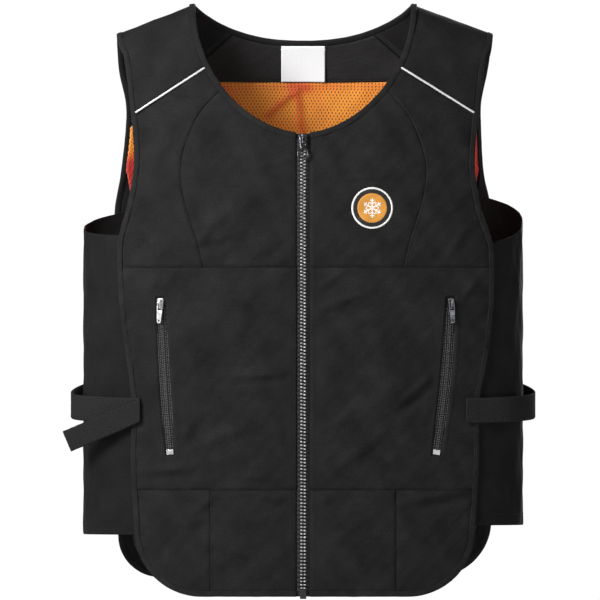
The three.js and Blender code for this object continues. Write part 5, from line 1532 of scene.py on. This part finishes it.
def straps():
    for side in (-1, 1):
        at = strapPath(side)
        along = unit(np.gradient(at, axis=0))
        up = np.array([0, 0, 1.0]) - along * along[:, 2:]
        webbingBand(f"strap_{sideNames[side]}_webbing", at, unit(up), strapLook["width"],
                    [f"strap_{sideNames[side]}"])
    side, fall = -1, math.radians(strapLook["tailFall"])
    start = strapPath(side)[0]
    run = unit(np.array([side, strapLook["tailSweep"], -math.tan(fall)]))
    shares = np.linspace(0, 1, 60)
    at = start + run * (shares * strapLook["tail"])[:, None]
    at[:, 1] -= strapLook["thickness"] + 0.35 + 0.8 * np.sin(shares * math.pi)
    turn = np.minimum(shares * 8 / 3, 1) * fall
    across = np.stack([side * np.sin(turn), np.zeros_like(turn), np.cos(turn)], -1)
    webbingBand("strap_tail_webbing", at, across, strapLook["tailWidth"], ["strap_tail"])


straps()
print("straps made")


# The blank label inside the neck
labelLook = {"width": 52, "height": 43, "top": 46.5, "sink": 6.2, "thickness": 0.6, "stitchLift": 0.12,
             "stitchRow": -4}


def careLabel():
    us, vs = np.linspace(-0.5, 0.5, 40), np.linspace(1, 0, 34)
    x, drop = np.meshgrid(us * labelLook["width"], labelLook["top"] + vs * labelLook["height"])
    at, out = bodySpots("back", x, drop, False)
    curl = (0.9 * (np.abs(us) * 2) ** 4 + 0.5 * np.sin(us * 5))[None] * vs[:, None] ** 2
    upper = at - out * (labelLook["sink"] + np.maximum(0, curl))[..., None]
    piece = clothPiece("care_label_satin", upper, upper - out * labelLook["thickness"], whiteSatin)
    ownBy(piece, ["care_label"])
    row = labelLook["stitchRow"]
    return [(upper[row] - out[row] * (labelLook["thickness"] + labelLook["stitchLift"]), -out[row])]


labelStitches = careLabel()


# A generic round badge: a white ring, an orange disc and a six-armed frost star
badge = {"reach": 81.5, "drop": 242, "radius": 24.5, "ring": 2.2, "disc": 17.5, "pin": 0.05,
         "ray": (0.6, 11.5, 1.5), "arms": ((5.0, 4.2), (8.2, 3.0)), "armWidth": 1.1}


def onChest(points, lift):
    points = np.asarray(points, float)
    at, out = bodySpots("front", badge["reach"] + points[..., 0], badge["drop"] - points[..., 1])
    return at + out * np.broadcast_to(lift, points.shape[:-1])[..., None]


def ringPiece(name, inner, outer, lift, material, nodes=()):
    radii = np.linspace(inner, outer, max(3, round((outer - inner) / 1.2) + 1))
    angles = np.linspace(0, 2 * math.pi, 97)
    r, a = np.meshgrid(radii, angles)
    edge = np.minimum(r - inner, outer - r)
    points = np.stack([r * np.cos(a), r * np.sin(a)], -1)
    upper = onChest(points, lift - 0.18 * bell(edge, 0.25) * (inner > 0.1))
    lower = onChest(points, lift - 0.5)
    piece = clothPiece(name, upper, lower, material)
    work = bmesh.new()
    work.from_mesh(piece.data)
    bmesh.ops.remove_doubles(work, verts=work.verts, dist=1e-5)
    bmesh.ops.dissolve_degenerate(work, edges=work.edges, dist=1e-6)
    doubled = {}
    for f in work.faces:
        doubled.setdefault(frozenset(f.verts), []).append(f)
    spare = [f for group in doubled.values() if len(group) > 1 for f in group]
    bmesh.ops.delete(work, geom=spare, context="FACES")
    work.to_mesh(piece.data)
    work.free()
    return ownBy(piece, nodes)


def barPiece(points, faces, start, end, width, lift):
    start, end = np.array(start, float), np.array(end, float)
    run = unit(end - start)
    beside = np.array([-run[1], run[0]]) * width / 2
    count = max(2, int(np.linalg.norm(end - start) / 2.0) + 1)
    base = sum(len(p) for p in points)
    stations = np.linspace(start, end, count)
    flat = np.stack([stations - beside, stations + beside], 1)
    points.append(onChest(flat, lift).reshape(-1, 3))
    points.append(onChest(flat, lift - 0.4).reshape(-1, 3))
    n = 2 * count
    for i in range(count - 1):
        a, b, c, d = base + 2 * i, base + 2 * i + 1, base + 2 * i + 3, base + 2 * i + 2
        faces.extend([(a, d, c, b), (a + n, b + n, c + n, d + n), (a, a + n, d + n, d), (b, c, c + n, b + n)])
    faces.extend([(base, base + 1, base + 1 + n, base + n),
                  (base + n - 2, base + 2 * n - 2, base + 2 * n - 1, base + n - 1)])


def frostStar():
    points, faces = [], []
    for k in range(6):
        a = math.pi * k / 3 + math.pi / 2
        ray = np.array([math.cos(a), math.sin(a)])
        start, end, width = badge["ray"]
        barPiece(points, faces, ray * start, ray * end, width, 0.75)
        for root, arm in badge["arms"]:
            for turn in (-1, 1):
                b = a + turn * math.pi / 3
                tip = ray * root + np.array([math.cos(b), math.sin(b)]) * arm
                barPiece(points, faces, ray * root, tip, badge["armWidth"], 0.74)
    piece = makePiece("badge_star_vinyl", np.concatenate(points), faces, whiteVinyl, smooth=False)
    work = bmesh.new()
    work.from_mesh(piece.data)
    bmesh.ops.recalc_face_normals(work, faces=work.faces)
    work.to_mesh(piece.data)
    work.free()
    ownBy(piece)


ringPiece("badge_ground_vinyl", badge["pin"], badge["radius"] - 0.2, 0.42, blackVinyl, ["chest_badge"])
ringPiece("badge_ring_vinyl", badge["radius"] - badge["ring"], badge["radius"], 0.62, whiteVinyl)
ringPiece("badge_disc_vinyl", badge["pin"], badge["disc"], 0.6, orangeVinyl)
frostStar()
print("badge pressed")

# All topstitching is one thread piece: single stitches in a row
stitch = {"pitch": 3.2, "half": 1.25, "body": 0.75, "thread": 0.26}
threadUnit = tubeUnit("stitch", [(-stitch["half"], 0.05, 0.05, -0.2),
                                 (-stitch["body"], stitch["thread"], stitch["thread"], 0.1),
                                 (stitch["body"], stitch["thread"], stitch["thread"], 0.1),
                                 (stitch["half"], 0.05, 0.05, -0.2)], 5)
repeatAlong("topstitching", stitchLines, threadUnit, stitch["pitch"], blackThread)
repeatAlong("coil_stitching", coilStitches, threadUnit, stitch["pitch"], greyThread)
repeatAlong("label_stitching", labelStitches, threadUnit, stitch["pitch"], whiteThread)
bpy.data.objects.remove(threadUnit)
print("stitched")


# Plain studio: a pale floor, a white horizon all round under a dim sky, and three soft lamps
studio = {
    "floor": -1.3, "floorHalf": 9.0, "horizon": 1.02, "sky": 0.14, "bandLow": 0.08, "bandHigh": 0.15,
    "glowNear": 0.3, "glowFar": 1.15, "nearReach": 1.5, "farReach": 5.0,
}


def addRange(tree, source, span, low, high):
    return addNode(tree, "ShaderNodeMapRange", {
        "Value": source, "From Min": span[0], "From Max": span[1], "To Min": low, "To Max": high})


# Matt paper floor, whose own faint light keeps it pale far from the lamps
def stageFloor():
    half, z = studio["floorHalf"] / mm, studio["floor"] / mm
    points = [(-half, -half, z), (half, -half, z), (half, half, z), (-half, half, z)]
    paper, tree, shader = newMaterial("paperFloor", 0.9, "#C4C4C4")
    place = objectPlace(tree)
    grain = addNoise(tree, place, 6.0, 3.0)
    shade = addRamp(tree, (grain, "Fac"), (0.3, "#C4C4C4"), (0.7, "#C6C6C6"))
    away = addNode(tree, "ShaderNodeVectorMath", {0: place}, operation="LENGTH")
    glow = addRange(tree, (away, "Value"), (studio["nearReach"], studio["farReach"]),
                    studio["glowNear"], studio["glowFar"])
    wire(tree, shader, Base_Color=(shade, "Color"), Emission_Color=(shade, "Color"),
         Emission_Strength=(glow, "Result"))
    makePiece("studio_floor", points, [(0, 1, 2, 3)], paper)


def stageSky():
    world = bpy.data.worlds.new("studioSky")
    world.use_nodes = True
    tree = world.node_tree
    place = addNode(tree, "ShaderNodeTexCoord")
    parts = addNode(tree, "ShaderNodeSeparateXYZ", {"Vector": (place, "Generated")})
    height = addMath(tree, "ABSOLUTE", (parts, "Z"))
    glow = addRange(tree, (height, "Value"), (studio["bandLow"], studio["bandHigh"]),
                    studio["horizon"], studio["sky"])
    sky = tree.nodes["Background"]
    sky.inputs["Color"].default_value = toLinear("#FFFFFF")
    wire(tree, sky, Strength=(glow, "Result"))
    scene.world = world


def addLight(name, place, target, size, power):
    data = bpy.data.lights.new(name, "AREA")
    data.shape = "RECTANGLE"
    data.size, data.size_y = size
    data.energy = power
    lamp = bpy.data.objects.new(name, data)
    lamp.location = place
    lamp.rotation_euler = (Vector(target) - Vector(place)).to_track_quat("-Z", "Y").to_euler()
    scene.collection.objects.link(lamp)


stageFloor()
stageSky()
addLight("keyLight", (-1.2, -1.25, 0.55), (0, 0, -0.25), (0.8, 0.8), 54)
addLight("fillLight", (1.4, -3.0, 0.0), (0, 0, -0.35), (1.6, 2.2), 4.5)
addLight("backLight", (0.9, 1.9, 0.6), (0, 0, -0.3), (1.4, 1.4), 70)
print("studio lit")
